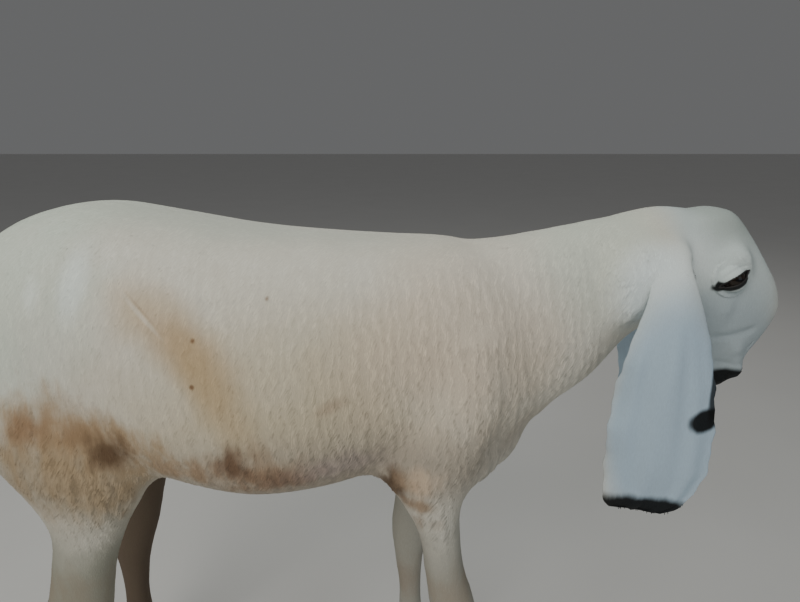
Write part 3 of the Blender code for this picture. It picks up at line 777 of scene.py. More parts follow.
EAR_FIRST, EAR_STEPS = 14, 56  # the sheet's first ring, and its points a ring
LAID_RINGS = 22  # the sheet's first rings lie under the hide and come out of it little by little
shape = bmesh.new()
shape.from_mesh(hide)
ear_start = {}  # the number of each ear sheet's first vertex
bare_skin, bare_outs = read(hide.vertices, "co"), read(hide.vertex_normals, "vector")
for side in (-1, 1):
    ear_start[side] = len(shape.verts)
    points, faces = tube(ear_rings(side, EAR_STEPS, thin=0.0003, first=EAR_FIRST))
    own = points[: LAID_RINGS * EAR_STEPS]
    laid, laid_outs = laid_on_hide(own, bare_skin, bare_outs)
    laid -= laid_outs * 0.0008
    free = np.repeat(rise(np.arange(LAID_RINGS), 2, 20), EAR_STEPS)[:, None]
    points[: LAID_RINGS * EAR_STEPS] = laid + (own - laid) * free
    sheet = closed_mesh("sheet", points, faces)
    shape.from_mesh(sheet)
    bpy.data.meshes.remove(sheet)
shape.to_mesh(hide)
shape.free()
hide.name = "skin"
hide.shade_smooth()
skin_points = read(hide.vertices, "co")  # drawn places, kept for the coat
skin_normals = read(hide.vertex_normals, "vector")


# ------------------------------------------------------------------ markings and skin finish
# White hide with a warm cream wool, cooler white hair on the face, ears and feet, black rims,
# lips and ear tips, and yard dirt on the thigh, belly and elbows. Part of the grey blue of the
# face, ears and lower legs, the darker lower flank, and some of the brown under the belly and on
# the far hind leg are painted shade. The brighter root of the right ear is partly painted light.
# Skin and coat share them.
def maths(tree, operation, *values):
    """One step of arithmetic on values or other nodes' outputs."""
    return node(tree, "Math", "Value", dict(enumerate(values)), operation=operation)


def ranged(tree, value, ends, onto, curve="LINEAR"):
    """The value's share of the way between two ends, clamped and laid onto another span."""
    names = ("From Min", "From Max", "To Min", "To Max")
    sockets = {"Value": value, **dict(zip(names, (*ends, *onto)))}
    return node(tree, "MapRange", "Result", sockets, interpolation_type=curve)


def brush(tree, below, mask, colour, strength):
    """Lays a colour over another by a mask times a strength."""
    return mixed(tree, maths(tree, "MULTIPLY", mask, strength), below, colour)


markings = bpy.data.node_groups.new("sheep_markings", "ShaderNodeTree")
markings.interface.new_socket("Place", in_out="INPUT", socket_type="NodeSocketVector")
markings.interface.new_socket("Colour", in_out="OUTPUT", socket_type="NodeSocketColor")
markings.interface.new_socket("Black", in_out="OUTPUT", socket_type="NodeSocketFloat")
marked_place = markings.nodes.new("NodeGroupInput").outputs["Place"]
broad, blotch, streak = (
    maths(markings, "SUBTRACT", noise(markings, marked_place, *waves), 0.5)
    for waves in ((9, 3), (26, 4), (60, 4, (1, 1, 0.22)))
)
fine = noise(markings, marked_place, 150, 3, (1, 1, 0.5))


def spot_mask(wobble, centre, radii, inner, outer, turn=(0, 0, 0), ragged=0.5):
    """A mask that is 1 within inner and 0 past outer, measured in radii from a drawn centre along
    turned axes, with the edge made ragged by a noise."""
    sockets = {
        "Vector": marked_place,
        "Location": life_size(centre),
        "Rotation": np.radians(turn),
        "Scale": np.array(radii) * LIFE_SCALE,
    }
    spot = node(markings, "Mapping", "Vector", sockets, vector_type="TEXTURE")
    reach = node(markings, "VectorMath", "Value", {0: spot}, operation="LENGTH")
    edge = maths(markings, "MULTIPLY_ADD", wobble, ragged, reach)
    return ranged(markings, edge, (inner, outer), (1, 0), "SMOOTHSTEP")


creaminess = noise(markings, marked_place, 34, 5, (1, 1, 0.45))
colour = mixed(markings, creaminess, (0.70, 0.655, 0.56), (0.80, 0.77, 0.68))
# Soft colour tints of the wool and hair. Some rows are painted shade or painted light, as marked.
TINTS_AND_PAINTED_SHADE = (  # centre, radii, inner, outer, lean in degrees, raggedness, colour, strength
    ((-0.10, 0.0, 0.58), (0.26, 0.30, 0.125), 0.4, 1.2, 0, 0.6, (0.62, 0.53, 0.37), 0.95),
    # painted shade: the lower flank darkened as if the light fell off towards the belly
    ((-0.06, 0.0, 0.50), (0.26, 0.30, 0.078), 0.4, 1.2, 0, 0.8, (0.42, 0.36, 0.29), 0.90),
    ((-0.355, -0.140, 0.495), (0.130, 0.100, 0.085), 0.3, 1.2, 10, 0.7, (0.42, 0.36, 0.27), 0.80),
    ((-0.12, 0.0, 0.79), (0.48, 0.13, 0.080), 0.5, 1.15, 0, 0.5, (0.58, 0.61, 0.53), 0.75),
    ((-0.41, 0.0, 0.67), (0.16, 0.20, 0.135), 0.5, 1.15, 0, 0.6, (0.66, 0.74, 0.64), 0.80),
    ((0.22, 0.0, 0.71), (0.10, 0.12, 0.100), 0.4, 1.15, 0, 0.6, (0.70, 0.74, 0.64), 0.75),
    ((0.05, 0.0, 0.62), (0.15, 0.30, 0.110), 0.3, 1.2, 0, 0.6, (0.80, 0.66, 0.52), 0.65),
    ((-0.215, -0.150, 0.655), (0.105, 0.05, 0.040), 0.1, 1.15, 44, 0.9, (0.52, 0.36, 0.20), 0.80),
    ((-0.180, -0.155, 0.600), (0.075, 0.05, 0.032), 0.1, 1.15, 60, 0.9, (0.54, 0.40, 0.23), 0.75),
    ((-0.255, -0.140, 0.690), (0.040, 0.05, 0.050), 0.1, 1.15, 20, 0.9, (0.64, 0.50, 0.34), 0.45),
    ((-0.249, -0.138, 0.674), (0.034, 0.05, 0.0030), 0.1, 1.15, 44, 0.4, (0.84, 0.80, 0.70), 0.42),
    ((-0.250, -0.138, 0.680), (0.030, 0.05, 0.0018), 0.1, 1.15, 44, 0.3, (0.42, 0.31, 0.21), 0.40),
    ((-0.318, -0.118, 0.705), (0.018, 0.05, 0.055), 0.1, 1.1, 6, 0.7, (0.88, 0.94, 0.90), 0.60),
    ((-0.359, -0.123, 0.690), (0.012, 0.05, 0.026), 0.1, 1.1, 0, 0.7, (0.88, 0.93, 0.86), 0.55),
    ((-0.068, -0.156, 0.586), (0.022, 0.03, 0.010), 0.1, 1.2, -20, 0.9, (0.42, 0.31, 0.22), 0.55),
    # the face, the lower face and the top of the head in cool grey: partly the hair's own cool
    # white, partly painted shade of a head turned from the light
    ((0.362, 0.025, 0.685), (0.085, 0.09, 0.135), 0.70, 1.15, 0, 0.25, (0.68, 0.75, 0.73), 1.0),
    ((0.375, 0.015, 0.600), (0.085, 0.09, 0.100), 0.60, 1.10, 0, 0.25, (0.46, 0.53, 0.56), 0.95),
    ((0.375, 0.020, 0.755), (0.060, 0.07, 0.055), 0.40, 1.15, 20, 0.25, (0.44, 0.49, 0.45), 0.75),
    # the right ear's root in a bright cool white: partly the hair's own colour, partly painted
    # light filling the hollow where the ear meets the neck
    ((0.278, -0.070, 0.675), (0.060, 0.060, 0.075), 0.4, 1.15, 0, 0.25, (0.82, 0.90, 0.90), 0.9),
    ((0.322, -0.040, 0.700), (0.040, 0.050, 0.046), 0.3, 1.15, 0, 0.25, (0.92, 0.98, 0.95), 0.95),
    ((0.343, 0.154, 0.675), (0.060, 0.060, 0.075), 0.4, 1.15, 0, 0.25, (0.70, 0.77, 0.77), 0.9),
    ((0.364, 0.105, 0.700), (0.050, 0.060, 0.050), 0.4, 1.15, 0, 0.25, (0.74, 0.80, 0.78), 0.9),
    ((0.351, -0.034, 0.576), (0.020, 0.030, 0.016), 0.3, 1.15, 0, 0.25, (0.74, 0.82, 0.87), 0.8),
    # the hanging ears in blue grey: partly a cool white hair, partly painted shade of ears that
    # hang away from the light
    ((0.286, -0.095, 0.54), (0.085, 0.050, 0.165), 0.6, 1.12, 0, 0.10, (0.49, 0.62, 0.73), 1.0),
    ((0.375, 0.165, 0.54), (0.100, 0.070, 0.165), 0.6, 1.12, 0, 0.10, (0.50, 0.62, 0.72), 1.0),
    # the lower legs in a greyer tone: partly their own colour, partly painted shade where the light
    # falls off towards the floor
    ((0.03, 0.0, 0.20), (0.20, 0.20, 0.27), 0.7, 1.15, 0, 0.4, (0.38, 0.37, 0.32), 0.90),
    ((-0.38, 0.0, 0.22), (0.18, 0.20, 0.29), 0.7, 1.12, 0, 0.4, (0.32, 0.32, 0.26), 0.90),
    # the far hind leg in dark brown: partly yard dirt, partly painted shadow on the leg that stands
    # behind the others
    ((-0.395, 0.078, 0.255), (0.090, 0.060, 0.240), 0.65, 1.15, 0, 0.5, (0.14, 0.10, 0.07), 0.92),
)
for centre, radii, inner, outer, lean, ragged, hue, strength in TINTS_AND_PAINTED_SHADE:
    mask = spot_mask(broad, centre, radii, inner, outer, (0, lean, 0), ragged)
    colour = brush(markings, colour, mask, hue, strength)
# Yard dirt, and under the belly also painted shade.
DIRT_AND_BELLY_SHADE = (  # centre, radii, lean in degrees, inner, outer, colour, strength
    ((-0.330, -0.150, 0.547), (0.130, 0.060, 0.044), 20, 0.20, 1.15, (0.44, 0.29, 0.16), 0.90),
    ((-0.335, -0.150, 0.498), (0.120, 0.060, 0.066), 10, 0.10, 1.30, (0.42, 0.31, 0.19), 0.85),
    ((-0.372, -0.150, 0.560), (0.030, 0.040, 0.026), 0, 0.10, 1.20, (0.30, 0.18, 0.10), 0.70),
    ((-0.330, -0.150, 0.548), (0.024, 0.040, 0.020), 0, 0.10, 1.20, (0.28, 0.17, 0.09), 0.60),
    ((-0.294, -0.141, 0.526), (0.030, 0.040, 0.027), 20, 0.20, 1.15, (0.135, 0.080, 0.045), 0.90),
    ((-0.360, 0.145, 0.535), (0.100, 0.060, 0.044), 15, 0.15, 1.20, (0.44, 0.29, 0.17), 0.80),
    ((-0.320, 0.145, 0.515), (0.030, 0.040, 0.024), 20, 0.15, 1.20, (0.20, 0.13, 0.08), 0.70),
    ((-0.150, -0.155, 0.508), (0.080, 0.060, 0.036), 0, 0.15, 1.20, (0.36, 0.24, 0.15), 0.85),
    ((-0.165, -0.160, 0.520), (0.024, 0.040, 0.032), 0, 0.15, 1.20, (0.17, 0.10, 0.06), 0.85),
    ((-0.120, -0.150, 0.500), (0.040, 0.050, 0.022), 0, 0.15, 1.20, (0.24, 0.15, 0.10), 0.70),
    ((-0.060, -0.145, 0.510), (0.055, 0.050, 0.028), 0, 0.15, 1.25, (0.44, 0.36, 0.33), 0.65),
    ((-0.235, -0.145, 0.505), (0.030, 0.040, 0.024), 0, 0.15, 1.25, (0.40, 0.28, 0.18), 0.70),
    ((-0.150, 0.150, 0.495), (0.110, 0.060, 0.036), 0, 0.15, 1.25, (0.38, 0.26, 0.17), 0.75),
    # the belly's underside in brown: partly yard dirt, partly painted shade under the body
    ((-0.130, 0.000, 0.435), (0.200, 0.140, 0.040), 0, 0.30, 1.25, (0.32, 0.22, 0.15), 0.80),
    ((-0.005, -0.121, 0.476), (0.024, 0.040, 0.028), 0, 0.30, 1.15, (0.13, 0.08, 0.045), 0.95),
    ((0.020, -0.122, 0.452), (0.026, 0.040, 0.013), 10, 0.15, 1.20, (0.34, 0.22, 0.13), 0.75),
    ((0.022, -0.125, 0.482), (0.028, 0.040, 0.024), 0, 0.10, 1.30, (0.80, 0.60, 0.42), 0.60),
    ((-0.012, 0.116, 0.478), (0.022, 0.040, 0.022), 0, 0.20, 1.20, (0.22, 0.14, 0.08), 0.80),
    ((-0.385, -0.095, 0.330), (0.070, 0.050, 0.050), 0, 0.10, 1.30, (0.34, 0.26, 0.18), 0.50),
    ((-0.500, 0.000, 0.520), (0.050, 0.080, 0.120), 0, 0.15, 1.25, (0.46, 0.32, 0.20), 0.65),
    ((0.060, -0.095, 0.318), (0.045, 0.045, 0.040), 0, 0.10, 1.30, (0.36, 0.28, 0.20), 0.50),
    ((0.005, 0.075, 0.205), (0.045, 0.045, 0.040), 0, 0.10, 1.30, (0.34, 0.26, 0.19), 0.45),
    ((0.040, 0.000, 0.060), (0.200, 0.200, 0.050), 0, 0.15, 1.25, (0.40, 0.30, 0.21), 0.60),
    ((-0.380, 0.000, 0.060), (0.200, 0.200, 0.050), 0, 0.15, 1.25, (0.38, 0.28, 0.19), 0.60),
)
uneven = maths(markings, "ADD", blotch, streak)
for centre, radii, lean, inner, outer, hue, strength in DIRT_AND_BELLY_SHADE:
    mask = spot_mask(uneven, centre, radii, inner, outer, (0, lean, 0), ragged=1.3)
    colour = brush(markings, colour, mask, hue, strength)
SPECKS = ((-0.198, -0.152, 0.652), (-0.199, -0.162, 0.609), (-0.130, -0.130, 0.687))
for centre in SPECKS:
    mask = spot_mask(fine, centre, (0.0030, 0.02, 0.0030), 0.6, 1.5, ragged=0.6)
    colour = brush(markings, colour, mask, (0.22, 0.12, 0.06), 0.85)

EAR_MARKS = (  # forward, out and down from the ear's root, radii, lean, strength
    (0.009, 0.093, 0.287, (0.080, 0.05, 0.0240), 0, 0.98),
    (0.053, 0.086, 0.164, (0.0190, 0.03, 0.0140), -25, 0.98),
    (0.062, 0.084, 0.121, (0.0080, 0.03, 0.050), 4, 0.90),
)
BLACK = (0.004, 0.004, 0.004)
blacks = []  # masks and strengths
for side in (-1, 1):
    basis = HEAD_AXES @ np.diag((1, side, 1)) @ EYE_BASIS
    basis = basis * (1, side, 1)  # a mirrored set of axes is turned back to a right-handed one
    turn = np.degrees(Matrix(basis.tolist()).to_euler())
    eye = out_of_head((EYE_CENTRE - EYE_ALONG * 0.0025) * (1, side, 1))
    blacks.append((spot_mask(blotch, eye, (0.0235, 0.0078, 0.03), 0.80, 1.05, turn, 0.08), 0.97))
nose = out_of_head(np.array((0.199, 0.0, 0.022)))
turn = np.degrees((0, HEAD_DROOP, -HEAD_TURN))
blacks.append((spot_mask(blotch, nose, (0.0320, 0.060, 0.0440), 0.86, 1.03, turn, 0.16), 0.98))
for side in (-1, 1):
    root, out, forward = ear_axes(side)
    for ahead, aside, fall, radii, lean, strength in EAR_MARKS:
        ahead += EAR_SWING[side] * fall / EAR_ROWS[-1][2]
        centre = root + out * aside + forward * ahead - np.array((0, 0, fall))
        blacks.append((spot_mask(streak, centre, radii, 0.70, 1.15, (0, lean, 0)), strength))
black = 0.0
for mask, strength in blacks:
    colour = brush(markings, colour, mask, BLACK, strength)
    black = maths(markings, "MAXIMUM", black, mask)
plug(markings, markings.nodes.new("NodeGroupOutput"), {"Colour": colour, "Black": black})


def with_markings(name):
    """A material with the markings: itself, tree, shader, their colour, the place, their black."""
    made, tree, shader = new_material(name)
    place = node(tree, "TexCoord", "Object", {})
    group = tree.nodes.new("ShaderNodeGroup")
    group.node_tree = markings
    plug(tree, group, {"Place": place})
    return made, tree, shader, group.outputs["Colour"], place, group.outputs["Black"]


def shaded(tree, colour, level):
    """The colour times a level."""
    return node(tree, "VectorMath", "Vector", {0: colour, "Scale": level}, operation="SCALE")


def bumped(tree, height, strength, distance):
    """The normal of a surface raised by a height of 0 to 1 times a distance."""
    sockets = {"Height": height, "Strength": strength, "Distance": distance}
    return node(tree, "Bump", "Normal", sockets)


hide_kind, tree, shader, colour, place, black = with_markings("short_haired_hide")
hair = noise(tree, place, 900, 3, (1, 1, 0.20))
pores = noise(tree, place, 240, 4, (1, 1, 0.5))
relief = maths(tree, "MULTIPLY_ADD", pores, 0.6, hair)
finish = {
    "Base Color": shaded(tree, colour, ranged(tree, hair, (0, 1), (0.84, 1.04))),
    "Roughness": ranged(tree, black, (0, 1), (0.80, 0.60)),
    "Specular IOR Level": 0.18,
    "Normal": bumped(tree, relief, 0.45, 0.0007),
}
plug(tree, shader, finish)

set_points(hide, life_size(skin_points))
skin = new_object("skin", hide, hide_kind)
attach(skin, "root")
FLESH = ["trunk", "neck", "head", "tail", "ear_right", "ear_left", *LEGS]
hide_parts(*FLESH)


# ------------------------------------------------------------------ the eyes
# Dark brown eyes with a level slit of a pupil under a wet cornea, each a ball of life size that
# sits whole behind the lids. The lids end in thin black rims of bare skin.
def eye_ball(side):
    """A sphere about the line of sight, swelled in front by 0.0008 e to minus (angle / 0.5)^2."""
    rings, turn = sphere(28, 44)
    radius = EYE_RADIUS + 0.0008 * np.exp(-((turn / 0.5) ** 2))
    points, faces = tube(rings * radius[..., None])
    return out_of_head((points @ EYE_BASIS.T + EYE_CENTRE) * np.array((1, side, 1))), faces


def lid_rim(side, steps=72, sides=10, thickness=0.00100):
    """A thin tube along the almond edge of the lids: at each point a ring of cosine and sine about
    the edge's own direction, laid on the closed lids."""
    turn = np.linspace(0, 2 * math.pi, steps, endpoint=False)
    along = SLIT * np.cos(turn)
    up = np.where(np.sin(turn) > 0, lid_edge(along, LID_UP), -lid_edge(along, LID_DOWN))
    flat = np.stack([along, up], axis=1)
    away = np.linalg.norm(closed_lids[None, :, :2] - flat[:, None], axis=2)
    order = np.argsort(away, axis=1)[:, :5]
    weight = 1 / (np.take_along_axis(away, order, axis=1) + 1e-4)
    out = (closed_lids[order, 2] * weight).sum(axis=1) / weight.sum(axis=1)
    for _ in range(3):
        out = 0.5 * out + 0.25 * (np.roll(out, 1) + np.roll(out, -1))
    path = np.column_stack([flat, out - 0.0008])
    run = unit(np.roll(path, -1, axis=0) - np.roll(path, 1, axis=0))
    lift = unit(np.array((0, 0, 1.0)) - run * run[:, 2:])
    beside = np.cross(run, lift)
    across, outward = (v[None, :, None] for v in ring(sides))
    rings = path[:, None] + thickness * (
        beside[:, None] * across + 0.85 * lift[:, None] * outward
    )
    index = np.arange(steps * sides).reshape(steps, sides)
    after, beyond = np.roll(index, -1, axis=0), np.roll(index, -1, axis=1)
    faces = np.stack([index, beyond, np.roll(after, -1, axis=1), after], axis=-1).reshape(-1, 4)
    points = rings.reshape(-1, 3) @ EYE_BASIS.T + EYE_CENTRE
    return out_of_head(points * np.array((1, side, 1))), faces.tolist()


def disc(tree, seen, width, height, inner, outer):
    """A mask, 1 at inner and 0 at outer, in shares of a flat disc of that half width and height
    about the line of sight."""
    flat = {0: seen, 1: (1 / width, 1 / height, 0)}
    flat = node(tree, "VectorMath", "Vector", flat, operation="MULTIPLY")
    reach = node(tree, "VectorMath", "Value", {0: flat}, operation="LENGTH")
    return ranged(tree, reach, (inner, outer), (1, 0))


rim_kind, tree, shader = new_material("black_lid_rim")
place = node(tree, "TexCoord", "Object", {})
mottle = noise(tree, place, 420, 3)
finish = {
    "Base Color": mixed(tree, mottle, (0.012, 0.010, 0.010), (0.022, 0.018, 0.017)),
    "Roughness": 0.55,
    "Normal": bumped(tree, noise(tree, place, 1500, 2), 0.3, 0.0004),
}
plug(tree, shader, finish)

for side, word in ((-1, "right"), (1, "left")):
    ball_kind, tree, shader = new_material(f"eye_{word}_wet")
    sight = HEAD_AXES @ (EYE_OUT * (1, side, 1))
    level = np.cross((0, 0, 1), sight)
    level /= np.linalg.norm(level)
    upright = np.cross(sight, level)
    looking = {
        "Vector": node(tree, "TexCoord", "Object", {}),
        "Location": life_size(out_of_head(EYE_CENTRE * (1, side, 1))),
        "Rotation": Matrix(np.stack([level, upright, sight], axis=1).tolist()).to_euler(),
    }
    seen = node(tree, "Mapping", "Vector", looking, vector_type="TEXTURE")
    rays = noise(tree, seen, 600, 3, (1, 0.35, 1))
    iris = mixed(tree, rays, (0.006, 0.004, 0.003), (0.022, 0.012, 0.006))
    outside = disc(tree, seen, 0.0115, 0.0115, 1.0, 0.92)
    eye_colour = brush(tree, iris, outside, (0.012, 0.009, 0.008), 1.0)
    pupil = disc(tree, seen, 0.0058, 0.0021, 0.85, 1.05)
    finish = {
        "Base Color": brush(tree, eye_colour, pupil, (0.003, 0.003, 0.004), 1.0),
        "Roughness": 0.12,
        "Specular IOR Level": 0.2,
        "Coat Weight": 0.35,
        "Coat Roughness": 0.02,
    }
    plug(tree, shader, finish)
    points, faces = eye_ball(side)
    mesh = closed_mesh(f"eyeball_{word}", life_size(points), faces)
    ball = new_object(f"eyeball_{word}", mesh, ball_kind)
    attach(ball, "root")
    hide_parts(f"eye_{word}")
    points, faces = lid_rim(side)
    mesh = closed_mesh(f"lid_rim_{word}", life_size(points), faces)
    rim = new_object(f"lid_rim_{word}", mesh, rim_kind)
    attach(rim, "root")


# ------------------------------------------------------------------ the coat
# A short fleece a few weeks after shearing, in fine upright combings down the sides, shaggier on
# thigh and belly, and flat short hair on face, ears and feet. Each lock is a small solid tuft
# rooted in the skin, that leans with the lie of the coat and overlaps the ones below it.
chance = np.random.default_rng(7)
hide.calc_loop_triangles()
corners = read(hide.loop_triangles, "vertices", 3, int)
last = corners.max(axis=1)
on_ear = (last >= ear_start[-1]).astype(int) + (last >= ear_start[1])  # 0 body, 1 right, 2 left
triangle = skin_points[corners]
middle = triangle.mean(axis=1)
area = np.cross(triangle[:, 1] - triangle[:, 0], triangle[:, 2] - triangle[:, 0])
area = 0.5 * np.linalg.norm(area, axis=1)
density = blend(coat_regions(middle), 132e3, 84e3, 120e3, 128e3, 6e3, 4e3)  # tufts a square metre
density[on_ear > 0] = 95e3
flank = on_left(in_head(middle))
eye_place = (flank - EYE_CENTRE) @ EYE_BASIS
bare = (np.abs(eye_place[:, 0]) < SLIT + 0.001) & (np.abs(eye_place[:, 1]) < 0.0062)
bare &= np.linalg.norm(eye_place, axis=1) < 0.024
down, left, out = flank.T
bare |= (down > 0.183) & (down < 0.23) & (out > 0.020) & (left < 0.02)  # the nose
density[bare & (on_ear == 0)] = 0
count = np.floor(area * density + chance.random(len(area))).astype(int)
owner = np.repeat(np.arange(len(area)), count)
total = len(owner)
first, second = np.sqrt(chance.random(total)), chance.random(total)
weights = np.stack([1 - first, first * (1 - second), first * second], axis=1)[..., None]
roots = (skin_points[corners[owner]] * weights).sum(axis=1)
outs = unit((skin_normals[corners[owner]] * weights).sum(axis=1))
ear = on_ear[owner]
share = coat_regions(roots)


def wander(points, size, seed):
    """A smooth value from -1 to 1 that drifts over about that size: a mean of eight sine waves."""
    draw = np.random.default_rng(seed)
    waves = draw.normal(size=(8, 3)) * (2 * math.pi / (1.6 * size))
    return np.sin(points @ waves.T + draw.random(8) * 6.28).sum(axis=1) / 3.2


def lie_of_coat(points, outs, share, ear):
    """The way the tips point: down and a little back on the body, down the legs, ears and tail,
    up the face towards the poll, laid flat on the surface."""
    lie = np.tile((-0.32, 0.0, -0.95), (len(points), 1))
    lie += share["leg"][:, None] * (0.25, 0, 0)
    side = np.sign(in_head(points)[:, 1:2])
    face = np.hstack([0 * side - 1.0, 0.20 * side, 0 * side - 0.40]) @ HEAD_AXES.T
    lie += share["head"][:, None] * (face - lie)
    for sign in (-1, 1):
        root, out, _ = ear_axes(sign)
        stalk = 1 - rise(np.linalg.norm(points - root - out * 0.035, axis=1), 0.030, 0.050)
        lie += stalk[:, None] * (out + np.array((0, 0, -0.4)) - lie)
    lie = np.where(ear[:, None] > 0, (0.0, 0.0, -1.0), lie)
    lie -= outs * (lie * outs).sum(axis=1, keepdims=True)
    return lie / np.maximum(np.linalg.norm(lie, axis=1, keepdims=True), 1e-6)


COMBING = 0.0115  # from one combing down the side to the next
flow = lie_of_coat(roots, outs, share, ear)
beside = np.cross(outs, flow)
woolly = (1 - share["leg"]) * (1 - share["head"]) * (ear == 0)
combing = roots[:, 0] + 0.10 * roots[:, 2] + 0.0030 * wander(roots, 0.05, 3)
combing = 2 * math.pi * combing / COMBING + 1.3 * wander(roots, 0.022, 4)
sided = np.abs(outs[:, 1]) * (1 - share["tail"]) * woolly
swerve = chance.normal(size=total) * blend(share, 0.08, 0.08, 0.08, 0.12, 0.05)
swerve = 0.10 * wander(roots, 0.030, 5) + swerve
swerve -= 0.15 * sided * np.sin(combing) * np.sign(beside[:, 0])
flow = unit(flow + beside * swerve[:, None])
beside = np.cross(outs, flow)

length = blend(share, 0.0098, 0.0056, 0.0034, 0.0105, 0.0035, 0.0016)
length *= 1 + 0.10 * sided * np.cos(combing) + 0.12 * wander(roots, 0.018, 6) * woolly
length = np.where(ear > 0, 0.0030, length) * (1 + 0.18 * chance.normal(size=total).clip(-2, 2))
width = np.where(ear > 0, 0.00075, blend(share, 0.0024, 0.0017, 0.00100, 0.0020, 0.0002))
unruly = 0.4 + 0.6 * woolly  # degrees
lift = blend(share, 5.5, 5.5, 5, 9, 2, 1) + 0.8 * wander(roots, 0.012, 8) * woolly
lift = np.radians(np.where(ear > 0, 5, lift) + chance.normal(size=total) * unruly)
settle = blend(share, -4, -4, -3, -1, -0.5, 0)
settle = np.radians(np.where(ear > 0, -3, settle) + chance.normal(size=total) * unruly)
stand = blend(share, 0.00010, 0.00006, 0.00003, 0.0003, 0.00010)  # of the middle, above the skin
stand = np.where(ear > 0, 0.00003, stand) + 0.00012 * sided * np.cos(combing)
stand -= 0.5 * length * np.sin(lift)  # and so of the root
slope = (0.34 + 0.22 * (1 - rise(roots[:, 2], 0.54, 0.66))) * sided * np.sin(combing)
slope *= np.sign(beside[:, 0])
soft = outs + beside * slope[:, None] + 0.05 * chance.normal(size=(total, 3))  # for the shading
tones = 1 + 0.03 * chance.normal(size=total).clip(-2, 2) + 0.03 * wander(roots, 0.02, 9)


def tuft_points(roots, outs, flow, beside, length, width, lift, settle, stand):
    """Seven points a tuft: a triangle at the root, a wider one half way up, and the tip. The lower
    half leans out by lift, the upper half by settle, each an angle from the surface."""
    lower = flow * np.cos(lift)[:, None] + outs * np.sin(lift)[:, None]
    upper = flow * np.cos(settle)[:, None] + outs * np.sin(settle)[:, None]
    half = 0.5 * length[:, None]
    low = roots + outs * stand[:, None]
    mid = low + lower * half
    tip = mid + upper * half
    wide = beside[:, None] * np.array((-0.5, 0.5, 0.0))[None, :, None]
    away = unit(outs - lower * (outs * lower).sum(axis=1, keepdims=True))
    thick = away[:, None] * np.array((-0.24, -0.24, 0.09))[None, :, None]
    section = (wide + thick) * width[:, None, None]
    return np.concatenate([low[:, None] + 0.8 * section, mid[:, None] + section, tip[:, None]], 1)


# The unwrap of the hide: each region is a tube about its own axis, cut open along it and laid in
# its own field of the unit square, length one way and angle the other.
FIELDS = np.array((  # for each region: u and v where its field starts, and its width and height
    (0.005, 0.455, 0.99, 0.54),  # trunk and neck
    (0.005, 0.225, 0.24, 0.22), (0.255, 0.225, 0.24, 0.22),  # fore legs, right and left
    (0.505, 0.225, 0.24, 0.22), (0.755, 0.225, 0.24, 0.22),  # hind legs
    (0.005, 0.005, 0.35, 0.21),  # head
    (0.365, 0.005, 0.22, 0.21), (0.595, 0.005, 0.22, 0.21),  # ears
    (0.825, 0.005, 0.17, 0.21),  # tail
))
BODY, HEAD, RIGHT_EAR, LEFT_EAR, TAIL = 0, 5, 6, 7, 8  # and 1 to 4, the legs


def down_the_leg(rows, z, column):
    """A column of a leg's rows at each height, between its nearest two rows."""
    return np.interp(z, rows[::-1, 2], rows[::-1, column])


def region_of(points, ear):
    """The number of each place's region, as in FIELDS."""
    x, y, z = points.T
    region = np.zeros(len(points), int)
    down, _, out = in_head(points).T
    region[(down > -0.035) & (out > -0.095) & (x > 0.285)] = HEAD
    for number, (rows, side) in enumerate(LEGS.values(), start=1):
        reach = down_the_leg(rows, z, 3) * 1.5
        own = (z < 0.455) & (y * side > 0.01) & (np.abs(x - down_the_leg(rows, z, 0)) < reach)
        region[own & (region == BODY)] = number
    region[(x < -0.530) & (z < 0.67)] = TAIL
    region[ear > 0] = HEAD + ear[ear > 0]
    return region


def unwrapped(points, outs, region):
    """Each place's u and v: its share of the region's length, and its angle about the axis."""
    along, angle = np.zeros((2, len(points)))
    own = region == BODY
    x, y, z = points[own].T
    y, z = y - np.interp(x, (0.1, 0.33), (0, 0.025)), z - np.interp(x, (0, 0.33), (0.60, 0.69))
    along[own] = (x + 0.6 * (np.hypot(y, z) - 0.14) + 0.62) / 0.93
    angle[own] = np.arctan2(y, z)
    for number, (rows, side) in enumerate(LEGS.values(), start=1):
        own = region == number
        x, y, z = points[own].T
        along[own] = z / 0.46
        left = y - side * down_the_leg(rows, z, 1)
        angle[own] = np.arctan2(left, x - down_the_leg(rows, z, 0))
    own = region == HEAD
    down, left, out = in_head(points[own]).T
    along[own] = (down - 0.5 * (np.hypot(left, out) - 0.07) + 0.04) / 0.30
    angle[own] = np.arctan2(left, out - 0.005)
    for number, side in ((RIGHT_EAR, -1), (LEFT_EAR, 1)):
        own = region == number
        root, out, forward = ear_axes(side)
        place = points[own] - root
        fall = -place[:, 2]
        ahead = place @ forward - 0.11 * np.clip(fall, 0, 1) * (side > 0)
        outer = np.sign((outs[own] * out).sum(axis=1))
        along[own] = (fall + 0.03) / 0.33
        angle[own] = math.pi * np.clip(0.5 * outer + 6.75 * ahead, -1, 1)
    own = region == TAIL
    x, y, z = points[own].T
    along[own] = (z - 0.34) / 0.34
    angle[own] = np.arctan2(y, x + 0.550)
    spot = np.stack([along.clip(0, 1), angle / (2 * math.pi) + 0.5], axis=1)
    return FIELDS[region, :2] + spot * FIELDS[region, 2:]


region = region_of(roots, ear)
chart = unwrapped(roots, outs, region)
PATCH = 0.003  # of the unit square, that one tuft takes
TUFT = (roots, outs, flow, beside, length, width, lift, settle, stand)
TUFT_LOOPS = np.array((0, 1, 4, 3, 1, 2, 5, 4, 2, 0, 3, 5, 3, 4, 6, 4, 5, 6, 5, 3, 6, 0, 2, 1))
TUFT_STARTS = np.array((0, 4, 8, 12, 15, 18, 21))  # of its three quads and four triangles
TUFT_TIPS = (0, 0, 0, 0.5, 0.5, 0.5, 1.0)
TUFT_SPREAD = ((-0.5, -0.5), (0.5, -0.5), (0, -0.5), (-0.5, 0), (0.5, 0), (0, 0), (0, 0.5))


